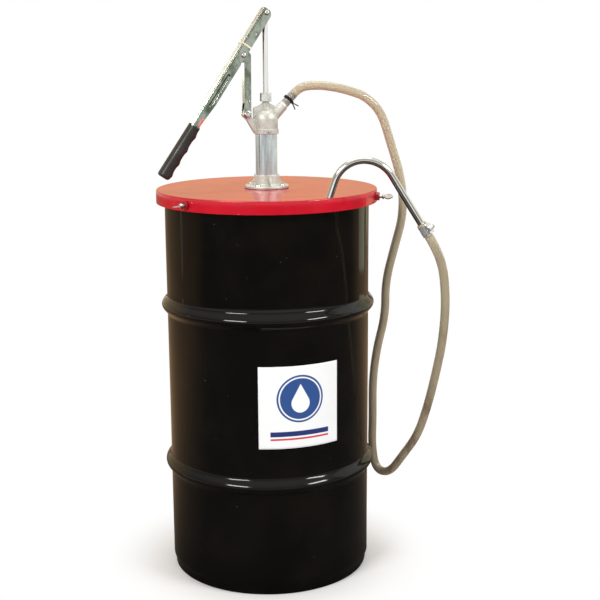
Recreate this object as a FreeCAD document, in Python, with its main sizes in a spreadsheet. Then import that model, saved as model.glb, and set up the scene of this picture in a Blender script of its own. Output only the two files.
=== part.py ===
import FreeCAD, Part
import Sketcher
import math
import os
from FreeCAD import Placement, Rotation, Vector

# Hand-operated transfer pump on a drum cover, on its open-head drum.
# Frame: origin at the centre of the drum's base ring, +Z up, the lever swings in the XZ plane
# with its grip toward -X. All sizes are millimetres, angles are degrees.

SIZES = {
    # drum
    "drum_radius": 179.0, "drum_wall": 1.2, "chime_radius": 175.4, "chime_height": 14.0,
    "hoop_bulge": 9.8, "hoop_half": 17.0, "lower_hoop": 196.0, "upper_hoop": 484.0,
    "curl_height": 676.0, "curl_radius": 4.8, "curl_centre": 183.1,
    # cover
    "cover_radius": 193.4, "cover_top": 686.4, "cover_sheet": 1.2, "cover_edge": 2.2,
    "skirt_bottom": 664.0, "gasket_inner": 178.8, "gasket_outer": 187.9,
    # thumb screws in the cover's skirt
    "thumb_height": 674.5, "thumb_tip": 188.3, "thumb_shank": 2.95, "thumb_nut_bore": 3.02,
    "thumb_nut_flats": 12.6, "thumb_nut_depth": 6.0, "thumb_shank_end": 205.0,
    # pump flange on the cover
    "flange_radius": 38.7, "flange_gasket": 0.8, "flange_thick": 4.2, "screw_circle": 31.7,
    "collar_radius": 22.3, "collar_top": 709.5, "screw_radius": 2.5,
    "screw_clearance": 2.7, "flange_nut_flats": 8.0, "flange_nut_height": 4.0, "rib_sheet": 4.4,
    # barrel, head and gland
    "barrel_radius": 19.0, "barrel_bore": 17.5, "barrel_bottom": 622.0, "barrel_top": 797.0,
    "head_bottom": 780.0, "head_collar": 21.9, "head_collar_top": 789.0, "head_radius": 20.6,
    "dome_base": 804.0, "neck_radius": 6.2, "neck_top": 842.0, "set_screw_height": 785.0,
    "nut_bottom": 835.7, "nut_top": 850.0, "nut_corner": 11.2, "gland_bore": 4.56,
    # rod, piston and foot valve
    "rod_radius": 4.5, "rod_bottom": 716.0, "piston_base": 728.0, "piston_radius": 17.0,
    "piston_thick": 6.0, "port_radius": 2.4, "port_circle": 9.0, "piston_nut_flats": 14.0,
    "cup_radius": 17.44, "cup_rim": 15.0, "valve_disc": 11.9, "valve_sheet": 1.8,
    "foot_bore": 6.6, "foot_pin_radius": 1.2, "foot_pin_rise": 14.5, "valve_ball": 8.0, "seat_height": 606.0,
    "suction_radius": 13.5, "suction_bore": 12.0, "suction_bottom": 44.0,
    "strainer_radius": 15.4, "strainer_floor": 22.0, "slot_width": 4.0, "slot_height": 14.0,
    # linkage
    "rod_pin_height": 984.0, "link_top_x": -41.6, "link_top_z": 913.7,
    "link_foot_x": -35.1, "link_foot_z": 814.4, "link_half": 8.0, "link_sheet": 1.6,
    "lug_half": 6.0, "lever_half": 13.0, "lever_sheet": 1.8, "lever_tilt": 56.0,
    "web_rise": 12.9, "flange_drop": 4.4, "pin_radius": 2.5,
    "grip_start": 143.8, "grip_end": 248.0, "grip_centre": 4.6, "grip_width": 13.4, "grip_depth": 10.4,
    # outlet, hose and spout
    "outlet_tilt": 45.8, "barb_radius": 5.5, "barb_bore": 3.9, "hose_radius": 7.6, "clip_wire": 1.15,
    "clip_place": 35.3, "clip_pitch": 2.2, "prong_length": 13.0,
    "spout_radius": 6.0, "spout_bore": 5.0, "clamp_band": 1.1, "clamp_width": 20.0,
    "clamp_reach": 11.6, "clamp_start": 2.5, "clamp_screw_radius": 2.2,
    # label
    "label_turn": 46.0, "label_bottom": 265.5, "label_height": 143.0, "label_sheet": 0.35,
}
THUMB_ANGLES = (-29.0, 91.0, 211.0)
THUMB_ROLLS = (110.0, 20.0, 100.0)
CLAMP_TURN = 210.0
THROUGH = 40.0
SPOUT_PLANE_TURN = -16.0
SPOUT_PLANE_Y = -154.0
SPOUT_CORNERS = ((102.2, 686.4), (121.9, 746.9), (187.7, 746.9), (265.4, 621.8))
SPOUT_BENDS = (50.0, 53.3)
SPOUT_GRIP_LENGTH = 24.0
# The hose hangs free from the pump's outlet to the spout: its centre line, point by point.
HOSE_ROUTE = (
    (50.5, 0.0, 847.5), (59.6, 0.0, 856.8), (77.0, -5.0, 862.0), (108.0, -11.0, 861.0),
    (145.0, -17.0, 853.0), (178.0, -21.0, 841.0), (205.0, -25.0, 813.0),
    (221.0, -25.0, 765.0), (246.0, -23.0, 692.0), (252.0, -18.0, 630.0),
    (239.0, -7.0, 567.0), (226.0, 2.0, 503.0), (228.0, 6.0, 438.0), (214.0, 12.0, 376.0),
    (207.0, 15.0, 311.0), (208.0, 15.0, 240.0), (206.0, 14.0, 185.0), (210.0, 3.0, 140.0),
    (228.0, -22.0, 139.0), (246.0, -44.0, 180.0), (264.0, -69.0, 224.0),
    (271.0, -96.0, 286.0), (273.0, -124.0, 352.0), (273.0, -151.0, 418.0),
    (268.0, -173.0, 484.0), (257.0, -191.0, 538.0), (244.0, -206.0, 572.0),
    (222.8, -224.1, 604.8), (212.7, -221.2, 621.8),
)

doc = FreeCAD.newDocument("TransferPump")
sheet = doc.addObject("Spreadsheet::Sheet", "Sizes")
for row, (alias, number) in enumerate(SIZES.items(), start=1):
    sheet.set(f"A{row}", alias)
    sheet.set(f"B{row}", str(number))
    sheet.setAlias(f"B{row}", alias)
doc.recompute()

NODES = {}


class Dim:
    """A number together with the sheet expression that gives it."""

    def __init__(self, value, text):
        self.value = value
        self.text = text

    @staticmethod
    def of(number):
        return number if isinstance(number, Dim) else Dim(float(number), f"({float(number)})")

    def join(self, other, sign, value):
        return Dim(value, f"({self.text} {sign} {other.text})")

    def __add__(self, other):
        other = Dim.of(other)
        return self.join(other, "+", self.value + other.value)

    def __radd__(self, other):
        return Dim.of(other) + self

    def __sub__(self, other):
        other = Dim.of(other)
        return self.join(other, "-", self.value - other.value)

    def __rsub__(self, other):
        return Dim.of(other) - self

    def __mul__(self, other):
        other = Dim.of(other)
        return self.join(other, "*", self.value * other.value)

    def __rmul__(self, other):
        return Dim.of(other) * self

    def __neg__(self):
        return Dim.of(0) - self


class Sheet:
    """Gives each named size of the sheet as a Dim."""

    def __getattr__(self, alias):
        return Dim(SIZES[alias], f"Sizes.{alias}")


S = Sheet()


def bind(thing, prop, size):
    """Set a property and keep it bound to the sheet."""
    size = Dim.of(size)
    setattr(thing, prop, size.value)
    thing.setExpression(prop, size.text)


def keep(label, thing):
    """Name a finished sub-part; its label is its file's name."""
    thing.Label = label
    NODES[label] = thing
    return thing


def at(x=0.0, y=0.0, z=0.0, axis=None, turn=0.0):
    """Placement at a point, turned about an axis."""
    return Placement(Vector(x, y, z), Rotation(axis or Vector(0, 0, 1), turn))


def toward(x, y, z, direction):
    """Placement at a point whose own Z runs along a direction."""
    return Placement(Vector(x, y, z), Rotation(Vector(0, 0, 1), direction))


# ---------------------------------------------------------------- building blocks
def arc_through(start, middle, end):
    """Arc of a circle from start to end past middle, and whether it runs anticlockwise."""
    circle = Part.Arc(start, middle, end).toShape().Curve
    angles = [math.atan2(p.y - circle.Center.y, p.x - circle.Center.x) for p in (start, middle, end)]
    to_middle = (angles[1] - angles[0]) % (2 * math.pi)
    to_end = (angles[2] - angles[0]) % (2 * math.pi)
    anticlockwise = to_middle < to_end
    flat = Part.Circle(circle.Center, Vector(0, 0, 1), circle.Radius)
    ends = (angles[0], angles[2]) if anticlockwise else (angles[2], angles[0])
    return Part.ArcOfCircle(flat, *ends), anticlockwise


def outline_sketch(body, name, plane, outline):
    """Closed sketch. Each corner is (x, y), or (x, y, via) where the edge that leaves it is an
    arc past the point via. Every corner is dimensioned from the origin by the sheet."""
    sketch = body.newObject("Sketcher::SketchObject", name)
    support = next(f for f in body.Origin.OriginFeatures if f.Role == plane)
    sketch.AttachmentSupport = (support, [""])
    sketch.MapMode = "FlatFace"
    corners = [(Dim.of(c[0]), Dim.of(c[1])) for c in outline]
    spots = [Vector(x.value, y.value, 0) for x, y in corners]
    ends = []
    for index, corner in enumerate(outline):
        start, end = spots[index], spots[(index + 1) % len(spots)]
        if len(corner) == 3:
            via = Vector(Dim.of(corner[2][0]).value, Dim.of(corner[2][1]).value, 0)
            edge, forward = arc_through(start, via, end)
        else:
            edge, forward = Part.LineSegment(start, end), True
        sketch.addGeometry(edge, False)
        ends.append((1, 2) if forward else (2, 1))
    count = len(outline)
    for index in range(count):
        following = (index + 1) % count
        sketch.addConstraint(Sketcher.Constraint(
            "Coincident", index, ends[index][1], following, ends[following][0]))
    for index, (x, y) in enumerate(corners):
        for kind, size in (("DistanceX", x), ("DistanceY", y)):
            number = sketch.addConstraint(Sketcher.Constraint(
                kind, -1, 1, index, ends[index][0], size.value))
            if "Sizes." in size.text:
                sketch.setExpression(f"Constraints[{number}]", size.text)
    return sketch


def turned(name, outline):
    """Body turned about its own Z from an outline of (radius, height) corners."""
    body = doc.addObject("PartDesign::Body", name)
    sketch = outline_sketch(body, name + "_profile", "XZ_Plane", outline)
    turn = body.newObject("PartDesign::Revolution", name + "_turn")
    turn.Profile = sketch
    turn.ReferenceAxis = (sketch, ["V_Axis"])
    turn.Angle = 360.0
    body.Tip = turn
    return body


def plate(name, outline, thickness, plane="XZ_Plane"):
    """Body padded evenly to both sides of a plane."""
    body = doc.addObject("PartDesign::Body", name)
    sketch = outline_sketch(body, name + "_outline", plane, outline)
    pad = body.newObject("PartDesign::Pad", name + "_pad")
    pad.Profile = sketch
    pad.SideType = "Symmetric"
    bind(pad, "Length", thickness)
    body.Tip = pad
    return body


def pocket(body, name, outline, thickness, plane="XZ_Plane"):
    """Cut an outline out of a body, evenly to both sides of a plane."""
    doc.recompute()
    before = body.Shape.Volume
    sketch = outline_sketch(body, name + "_outline", plane, outline)
    cut = body.newObject("PartDesign::Pocket", name)
    cut.Profile = sketch
    cut.SideType = "Symmetric"
    bind(cut, "Length", thickness)
    body.Tip = cut
    doc.recompute()
    assert body.Shape.Volume < before - 0.1, f"{name} cuts nothing"
    return cut


def across(name, radius, x, z, half=THROUGH / 2):
    """Plain round bar along Y, reaching evenly to both sides of the lever's plane."""
    return rod(name, radius, half * 2, toward(x, half, z, Vector(0, -1, 0)))


def rod(name, radius, height, placement=None):
    """Plain round bar."""
    bar = doc.addObject("Part::Cylinder", name)
    bind(bar, "Radius", radius)
    bind(bar, "Height", height)
    if placement:
        bar.Placement = placement
    return bar


def block(name, length, width, height, placement):
    """Plain rectangular block."""
    box = doc.addObject("Part::Box", name)
    bind(box, "Length", length)
    bind(box, "Width", width)
    bind(box, "Height", height)
    box.Placement = placement
    return box


def hexagon(name, flats, height, placement=None):
    """Six-sided bar, given across its flats."""
    bar = doc.addObject("Part::Prism", name)
    bar.Polygon = 6
    bind(bar, "Circumradius", Dim.of(flats) * (1 / math.sqrt(3)))
    bind(bar, "Height", height)
    if placement:
        bar.Placement = placement
    return bar


def cut(name, base, tool):
    """Base less tool."""
    result = doc.addObject("Part::Cut", name)
    result.Base = base
    result.Tool = tool
    return result


def fuse(name, shapes):
    """Several overlapping solids as one."""
    result = doc.addObject("Part::MultiFuse", name)
    result.Shapes = shapes
    return result


def group(name, shapes):
    """Several identical separate solids in one sub-part."""
    result = doc.addObject("Part::Compound", name)
    result.Links = shapes
    return result


def ring(name, outer, inner, height, placement=None):
    """Tube or washer standing on its own Z."""
    outside = rod(name + "_outside", outer, height, placement)
    hole = rod(name + "_hole", inner, height, placement)
    return cut(name, outside, hole)


def circle_of(name, count, first_angle, maker):
    """Copies made by maker(name, angle) evenly round Z."""
    return [maker(f"{name}_{k + 1}", first_angle + k * 360.0 / count) for k in range(count)]


def rounded_path(points, bends):
    """Wire of straight runs joined by tangent arcs of the given radii."""
    edges = []
    start = points[0]
    for corner, before, after, radius in zip(points[1:-1], points, points[2:], bends):
        arriving = (corner - before).normalize()
        leaving = (after - corner).normalize()
        turn = arriving.getAngle(leaving)
        reach = radius * math.tan(turn / 2)
        first, last = corner - arriving * reach, corner + leaving * reach
        inward = (leaving - arriving).normalize()
        middle = corner + inward * (radius / math.cos(turn / 2) - radius)
        edges.append(Part.LineSegment(start, first).toShape())
        edges.append(Part.Arc(first, middle, last).toShape())
        start = last
    edges.append(Part.LineSegment(start, points[-1]).toShape())
    return Part.Wire(edges)


def tube_solid(path, start, direction, radius):
    """Round section carried along a wire."""
    profile = Part.Wire([Part.Circle(start, direction, radius).toShape()])
    return path.makePipeShell([profile], True, False)


# ---------------------------------------------------------------- drum
def hoop_corners(radius, height):
    """Corners of one rolled hoop, going up a wall."""
    low, high = height - S.hoop_half, height + S.hoop_half
    rise = radius + 1.3
    return [
        (radius, low, (radius + 0.35, low + 1.4)),
        (rise, low + 2.5, (radius + S.hoop_bulge, height)),
        (rise, high - 2.5, (radius + 0.35, high - 1.4)),
        (radius, high),
    ]


def make_drum():
    wall_inside = S.drum_radius - S.drum_wall
    floor = S.chime_height + S.drum_wall
    outside = [
        (0, S.chime_height),
        (S.chime_radius - 3.0, S.chime_height),
        (S.chime_radius - 3.0, 0),
        (S.chime_radius, 0),
        (S.chime_radius, S.chime_height - 1.5, (S.chime_radius + 1.0, S.chime_height + 1.5)),
        (S.drum_radius, S.chime_height + 4.0),
    ]
    outside += hoop_corners(S.drum_radius, S.lower_hoop)
    outside += hoop_corners(S.drum_radius, S.upper_hoop)
    top_of_curl = S.curl_height + S.curl_radius
    curl = [
        (S.drum_radius, S.curl_height - 2.5, (S.curl_centre + S.curl_radius, S.curl_height)),
        (S.curl_centre, top_of_curl, (S.curl_centre - 3.4, S.curl_height + 3.4)),
        (S.curl_centre - S.curl_radius, S.curl_height),
        (wall_inside, S.curl_height - 1.0),
    ]
    down = []
    for height in (S.upper_hoop, S.lower_hoop):
        corners = hoop_corners(wall_inside, height)
        vias = [corner[2] for corner in corners[:3]]
        flipped = [corners[k][:2] for k in (3, 2, 1, 0)]
        down += [(*flipped[k], vias[2 - k]) for k in range(3)] + [flipped[3]]
    inside = [(wall_inside, floor + 3.0), (wall_inside - 3.0, floor), (0, floor)]
    keep("drum_shell", turned("drum_shell", outside + curl + down + inside))

    turn_to_start = -88.9 - SIZES["label_turn"] / 2
    sheets = []
    for name, radius in (("label_face", S.drum_radius + S.label_sheet), ("label_back", S.drum_radius)):
        sector = rod(name, radius, S.label_height, at(0, 0, SIZES["label_bottom"], None, turn_to_start))
        bind(sector, "Angle", S.label_turn)
        sheets.append(sector)
    keep("drum_label", cut("drum_label", *sheets))


# ---------------------------------------------------------------- cover
def flange_holes(name, bottom, height, radius):
    """Four round bars through the flange's screw circle."""
    def bar(part_name, angle):
        reach = SIZES["screw_circle"]
        x, y = reach * math.cos(math.radians(angle)), reach * math.sin(math.radians(angle))
        return rod(part_name, radius, height, at(x, y, bottom))
    return circle_of(name, 4, 45.0, bar)


def outward(angle, radius):
    """Placement on the skirt at an angle, with its own Z running outward."""
    direction = Vector(math.cos(math.radians(angle)), math.sin(math.radians(angle)), 0)
    base = direction * radius
    rotation = Rotation(Vector(0, 0, 1), angle).multiply(Rotation(Vector(0, 1, 0), 90))
    return Placement(Vector(base.x, base.y, SIZES["thumb_height"]), rotation)


def make_cover():
    under = S.cover_top - S.cover_sheet
    skirt_inside = S.cover_radius - S.cover_sheet
    blank = turned("cover_blank", [
        (S.barrel_radius + 0.6, under),
        (S.barrel_radius + 0.6, S.cover_top),
        (S.cover_radius - S.cover_edge, S.cover_top,
         (S.cover_radius - S.cover_edge * 0.293, S.cover_top - S.cover_edge * 0.293)),
        (S.cover_radius, S.cover_top - S.cover_edge),
        (S.cover_radius, S.skirt_bottom),
        (skirt_inside, S.skirt_bottom),
        (skirt_inside, under - 1.0),
        (skirt_inside - 1.0, under),
    ])
    holes = flange_holes("cover_screw_hole", SIZES["cover_top"] - 5, 10, S.screw_clearance)
    for number, angle in enumerate(THUMB_ANGLES, start=1):
        start = SIZES["cover_radius"] - 6
        holes.append(rod(f"cover_thumb_hole_{number}", 3.6, 12, outward(angle, start)))
    keep("cover_lid", cut("cover_lid", blank, fuse("cover_holes", holes)))

    keep("cover_gasket", turned("cover_gasket", [
        (S.gasket_inner, S.curl_height + S.curl_radius + 0.3),
        (S.gasket_outer, S.curl_height + S.curl_radius + 0.3),
        (S.gasket_outer, under),
        (S.gasket_inner, under),
    ]))

    nuts = []
    for number, angle in enumerate(THUMB_ANGLES, start=1):
        place = outward(angle, SIZES["cover_radius"] - 0.1)
        body = hexagon(f"weld_nut_hex_{number}", S.thumb_nut_flats, S.thumb_nut_depth, place)
        bore = rod(f"weld_nut_bore_{number}", S.thumb_nut_bore, S.thumb_nut_depth, place)
        nuts.append(cut(f"weld_nut_{number}", body, bore))
    keep("weld_nuts", group("weld_nuts", nuts))


def make_thumb_screw(number, angle, roll_angle):
    """Screw with a flat paddle head; its tip stops just clear of the drum's curl."""
    shank_length = SIZES["thumb_shank_end"] - SIZES["thumb_tip"]
    screw = turned(f"thumb_turned_{number}", [
        (0, 0),
        (2.0, 0),
        (S.thumb_shank, 1.0),
        (S.thumb_shank, shank_length - 1.2),
        (4.6, shank_length),
        (4.6, shank_length + 1.6),
        (3.0, shank_length + 3.0),
        (0, shank_length + 3.0),
    ])
    paddle = plate(f"thumb_paddle_{number}", [
        (-2.4, shank_length + 1.0),
        (2.4, shank_length + 1.0),
        (2.8, shank_length + 4.0, (8.1, shank_length + 7.2)),
        (4.8, shank_length + 15.0, (0, shank_length + 17.6)),
        (-4.8, shank_length + 15.0, (-8.1, shank_length + 7.2)),
        (-2.8, shank_length + 4.0),
    ], 2.0)
    whole = fuse(f"thumb_screw_{number}", [screw, paddle])
    whole.Placement = outward(angle, SIZES["thumb_tip"]).multiply(at(turn=roll_angle))
    keep(f"thumb_screw_{number}", whole)


# ---------------------------------------------------------------- pump stand
def make_flange():
    bottom = S.cover_top + S.flange_gasket
    top = bottom + S.flange_thick
    casting = turned("flange_casting", [
        (S.barrel_radius, bottom),
        (S.flange_radius, bottom),
        (S.flange_radius, top - 1.4, (S.flange_radius - 0.4, top - 0.4)),
        (S.flange_radius - 1.4, top),
        (26.4, top, (24.0, top + 1.6)),
        (S.collar_radius + 0.9, top + 5.0),
        (S.collar_radius, S.collar_top - 1.0),
        (S.collar_radius - 1.0, S.collar_top),
        (S.barrel_radius, S.collar_top),
    ])
    ribs = []
    for number in range(2):
        rib = plate(f"flange_rib_pair_{number + 1}", [
            (-(S.flange_radius - 2.0), top - 1.0),
            (S.flange_radius - 2.0, top - 1.0),
            (S.flange_radius - 3.5, top + 1.0, (27.6, top + 5.6)),
            (S.collar_radius + 0.2, S.collar_top - 2.5),
            (-S.collar_radius - 0.2, S.collar_top - 2.5, (-27.6, top + 5.6)),
            (-(S.flange_radius - 3.5), top + 1.0),
        ], S.rib_sheet)
        rib.Placement = at(turn=90.0 * number)
        ribs.append(rib)
    solid = fuse("flange_solid", [casting] + ribs)
    bore = rod("flange_bore", S.barrel_radius, 40, at(z=SIZES["cover_top"] - 5))
    holes = flange_holes("flange_hole", SIZES["cover_top"] - 5, 20, S.screw_clearance)
    keep("pump_flange", cut("pump_flange", solid, fuse("flange_cuts", [bore] + holes)))

    washer = ring("gasket_blank", S.flange_radius - 0.3, S.barrel_radius + 0.6, S.flange_gasket,
                  at(z=SIZES["cover_top"]))
    holes = flange_holes("gasket_hole", SIZES["cover_top"] - 5, 20, S.screw_clearance)
    keep("flange_gasket", cut("flange_gasket", washer, fuse("gasket_holes", holes)))

    top_height = SIZES["cover_top"] + SIZES["flange_gasket"] + SIZES["flange_thick"]
    under_height = SIZES["cover_top"] - SIZES["cover_sheet"]
    screws, nuts = [], []
    shanks = flange_holes("flange_shank", under_height - 8, top_height - under_height + 8, S.screw_radius)
    for number, shank in enumerate(shanks, start=1):
        spot = shank.Placement.Base
        head = turned(f"flange_head_{number}", [
            (0, 0), (5.0, 0), (5.0, 1.0, (4.2, 2.4)), (2.2, 3.2), (0, 3.2)])
        head.Placement = at(spot.x, spot.y, top_height)
        screws.append(fuse(f"flange_screw_{number}", [shank, head]))
        nut_place = at(spot.x, spot.y, under_height - SIZES["flange_nut_height"])
        body = hexagon(f"flange_nut_hex_{number}", S.flange_nut_flats, S.flange_nut_height, nut_place)
        hole = rod(f"flange_nut_hole_{number}", S.screw_radius, S.flange_nut_height, nut_place)
        nuts.append(cut(f"flange_nut_{number}", body, hole))
    keep("flange_screws", group("flange_screws", screws))
    keep("flange_nuts", group("flange_nuts", nuts))


def make_barrel():
    place = at(z=SIZES["barrel_bottom"])
    height = S.barrel_top - S.barrel_bottom
    keep("barrel", ring("barrel", S.barrel_radius, S.barrel_bore, height, place))


def outlet_frame(distance=0.0):
    """Placement along the outlet arm, measured from the pump's own axis."""
    tilt = math.radians(SIZES["outlet_tilt"])
    direction = Vector(math.cos(tilt), 0, math.sin(tilt))
    end = Vector(*HOSE_ROUTE[0])
    return toward(*(end + direction * (distance - 48.0)), direction)


def make_head():
    collar, top = S.head_collar, S.head_collar_top
    dome_top = S.dome_base + S.head_radius
    outside = turned("head_outside", [
        (0, S.head_bottom),
        (collar - 1.0, S.head_bottom),
        (collar, S.head_bottom + 1.0),
        (collar, top - 1.2),
        (S.head_radius, top + 0.3),
        (S.head_radius, S.dome_base, (S.head_radius * 0.7071, S.dome_base + S.head_radius * 0.7071)),
        (S.neck_radius + 1.2, dome_top - 2.0, (S.neck_radius + 0.25, dome_top - 0.9)),
        (S.neck_radius, dome_top + 1.0),
        (S.neck_radius, S.neck_top),
        (0, S.neck_top),
    ])
    rib = plate("head_rib", [
        (S.link_foot_x + 12.3, 794.0),
        (-15.0, 790.0),
        (-5.0, 815.0),
        (5.0, 815.0),
        (17.0, 815.0),
        (15.6, 827.6),
        (5.6, 832.5),
        (-6.4, 832.0),
        (-22.6, 825.2),
    ], 5.0)
    foot_x, foot_z = S.link_foot_x, S.link_foot_z
    lug = plate("head_lug", [
        (foot_x - 4.6, foot_z - 4.9, (foot_x - 4.6, foot_z + 4.9)),
        (foot_x + 2.0, foot_z + 6.5),
        (foot_x + 5.5, foot_z + 2.0),
        (foot_x + 9.0, foot_z - 6.5),
        (-17.0, foot_z - 9.0),
        (-17.0, 783.5),
        (-21.6, 782.0),
        (foot_x + 0.6, foot_z - 10.6),
    ], S.lug_half * 2)
    arm = turned("head_arm", [
        (0, -9.0), (9.4, -9.0), (8.4, 20.5), (7.6, 22.5), (7.6, 24.0), (0, 24.0)])
    arm.Placement = outlet_frame()
    set_height = SIZES["set_screw_height"]
    boss = rod("head_boss", 3.6, 4.0, toward(0, -19.5, set_height, Vector(0, -1, 0)))
    solid = fuse("head_solid", [outside, rib, lug, arm, boss])

    cavity = turned("head_cavity", [
        (0, S.head_bottom - 1.0),
        (S.barrel_radius, S.head_bottom - 1.0),
        (S.barrel_radius, S.barrel_top),
        (S.barrel_bore, S.barrel_top),
        (S.barrel_bore - 0.5, S.dome_base, (12.2, S.dome_base + 12.2)),
        (S.gland_bore, S.dome_base + 16.6),
        (S.gland_bore, S.neck_top + 1.0),
        (0, S.neck_top + 1.0),
    ])
    bore = rod("head_arm_bore", S.barb_radius, 52.0, outlet_frame(-12.0))
    bolt_hole = across("head_bolt_hole", 3.0, SIZES["link_foot_x"], SIZES["link_foot_z"])
    set_hole = rod("head_set_hole", 2.0, 8.0, toward(0, -18.0, set_height, Vector(0, -1, 0)))
    cuts = fuse("head_cuts", [cavity, bore, bolt_hole, set_hole])
    keep("pump_head", cut("pump_head", solid, cuts))

    screw = turned("head_set_screw", [
        (0, 0), (2.0, 0), (2.0, 4.4), (3.0, 4.4), (3.0, 6.0), (2.4, 6.6), (0, 6.6)])
    screw.Placement = toward(0, -19.2, set_height, Vector(0, -1, 0))
    keep("head_set_screw", screw)


def make_gland():
    height = S.nut_top - S.nut_bottom
    flats = S.nut_corner * math.sqrt(3)
    body = hexagon("gland_hex", flats, height, at(z=SIZES["nut_bottom"], turn=12.0))
    chamfer = turned("gland_chamfer", [
        (0, S.nut_bottom), (S.nut_corner - 1.3, S.nut_bottom), (S.nut_corner + 0.4, S.nut_bottom + 1.3),
        (S.nut_corner + 0.4, S.nut_top - 1.5), (S.nut_corner - 1.6, S.nut_top), (0, S.nut_top)])
    shaped = doc.addObject("Part::Common", "gland_shaped")
    shaped.Base, shaped.Tool = body, chamfer
    hollow = turned("gland_hollow", [
        (0, S.nut_bottom - 1.0), (S.neck_radius, S.nut_bottom - 1.0), (S.neck_radius, S.nut_top - 2.5),
        (S.gland_bore, S.nut_top - 2.5), (S.gland_bore, S.nut_top + 1.0), (0, S.nut_top + 1.0)])
    keep("gland_nut", cut("gland_nut", shaped, hollow))
    rings = []
    for number in range(2):
        place = at(z=SIZES["neck_top"] + 2.7 * number + 0.05)
        rings.append(ring(f"packing_ring_{number + 1}", S.neck_radius, S.gland_bore - 0.03, 2.6, place))
    keep("packing_rings", group("packing_rings", rings))


# ---------------------------------------------------------------- outlet, hose and spout
def make_outlet():
    barb = turned("outlet_barb", [
        (S.barb_bore, 17.0), (S.barb_radius, 17.0), (S.barb_radius, 47.0), (S.barb_radius - 0.8, 48.0),
        (S.barb_bore, 48.0)])
    barb.Placement = outlet_frame()
    keep("outlet_barb", barb)
    keep("hose_cuff_outlet", ring("hose_cuff_outlet", S.hose_radius, S.barb_radius, 24.0,
                                  outlet_frame(24.0)))

    loops = []
    half_pitch = SIZES["clip_pitch"] / 2
    for number, offset in enumerate((-half_pitch, half_pitch), start=1):
        loop = doc.addObject("Part::Torus", f"hose_clip_loop_{number}")
        bind(loop, "Radius1", S.hose_radius + S.clip_wire + 0.06)
        bind(loop, "Radius2", S.clip_wire)
        loop.Placement = outlet_frame(SIZES["clip_place"] + offset)
        loops.append(loop)
    frame = outlet_frame(SIZES["clip_place"])
    for number, lean in enumerate((-16.0, 22.0), start=1):
        start = at(SIZES["hose_radius"] + 0.9, axis=Vector(0, 1, 0), turn=90.0 + lean)
        loops.append(rod(f"hose_clip_prong_{number}", 1.0, S.prong_length, frame.multiply(start)))
    keep("hose_clip", fuse("hose_clip", loops))


def spout_point(corner, along=0.0):
    """Point of the spout's upright plane in the pump's frame."""
    turn = math.radians(SPOUT_PLANE_TURN)
    x, z = corner
    return Vector(x * math.cos(turn) - SPOUT_PLANE_Y * math.sin(turn),
                  x * math.sin(turn) + SPOUT_PLANE_Y * math.cos(turn), z + along)


def make_spout():
    corners = [spout_point(corner) for corner in SPOUT_CORNERS]
    path = rounded_path(corners, SPOUT_BENDS)
    along = (corners[1] - corners[0]).normalize()
    outer = tube_solid(path, corners[0], along, SIZES["spout_radius"])
    inner = tube_solid(path, corners[0], along, SIZES["spout_bore"])
    spout = doc.addObject("Part::Feature", "discharge_spout")
    floor = Part.makeBox(60, 60, 20, Vector(corners[0].x - 30, corners[0].y - 30, SIZES["cover_top"] - 20))
    spout.Shape = outer.cut(inner).cut(floor)
    keep("discharge_spout", spout)

    downward = (corners[3] - corners[2]).normalize()
    start = corners[3] - downward * SPOUT_GRIP_LENGTH
    place = toward(start.x, start.y, start.z, downward)
    keep("hose_cuff_spout", ring("hose_cuff_spout", S.hose_radius, S.spout_radius, SPOUT_GRIP_LENGTH, place))
    band_place = Placement(start + downward * SIZES["clamp_start"], place.Rotation).multiply(at(turn=CLAMP_TURN))
    band = rod("clamp_band", S.hose_radius + S.clamp_band, S.clamp_width, band_place)
    saddle = block("clamp_saddle", 7.0, 11.0, 16.0, band_place.multiply(at(5.5, -5.5, 2.0)))
    reach, middle = SIZES["clamp_reach"], SIZES["clamp_width"] / 2
    housing = rod("clamp_housing", 4.2, 10.5, band_place.multiply(
        toward(reach, -5.2, middle, Vector(0, 1, 0))))
    solid = fuse("clamp_solid", [band, saddle, housing])
    hole = rod("clamp_hole", S.hose_radius, S.clamp_width + 2.0, band_place.multiply(at(z=-1.0)))
    screw_place = band_place.multiply(toward(reach, -7.4, middle, Vector(0, 1, 0)))
    screw_hole = rod("clamp_screw_hole", S.clamp_screw_radius, 16.0, screw_place)
    keep("hose_clamp", cut("hose_clamp", solid, fuse("clamp_cuts", [hole, screw_hole])))
    shank = rod("clamp_screw_shank", S.clamp_screw_radius, 12.4, screw_place)
    head = hexagon("clamp_screw_head", 7.0, 3.4, screw_place.multiply(at(z=-1.6)))
    keep("hose_clamp_screw", fuse("hose_clamp_screw", [shank, head]))


def make_hose():
    points = [Vector(*point) for point in HOSE_ROUTE]
    bends = []
    for before, corner, after in zip(points, points[1:], points[2:]):
        run = min((corner - before).Length, (after - corner).Length)
        turn = (corner - before).getAngle(after - corner)
        bends.append(0.45 * run / math.tan(turn / 2))
    path = rounded_path(points, bends)
    solid = tube_solid(path, points[0], points[1] - points[0], SIZES["hose_radius"])
    expected = math.pi * SIZES["hose_radius"] ** 2 * path.Length
    print("hose radii:", [round(radius) for radius in bends])
    print(f"hose length {path.Length:.0f}, volume {solid.Volume:.0f}, section x length {expected:.0f}")
    hose = doc.addObject("Part::Feature", "transfer_hose")
    hose.Shape = solid
    keep("transfer_hose", hose)


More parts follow.
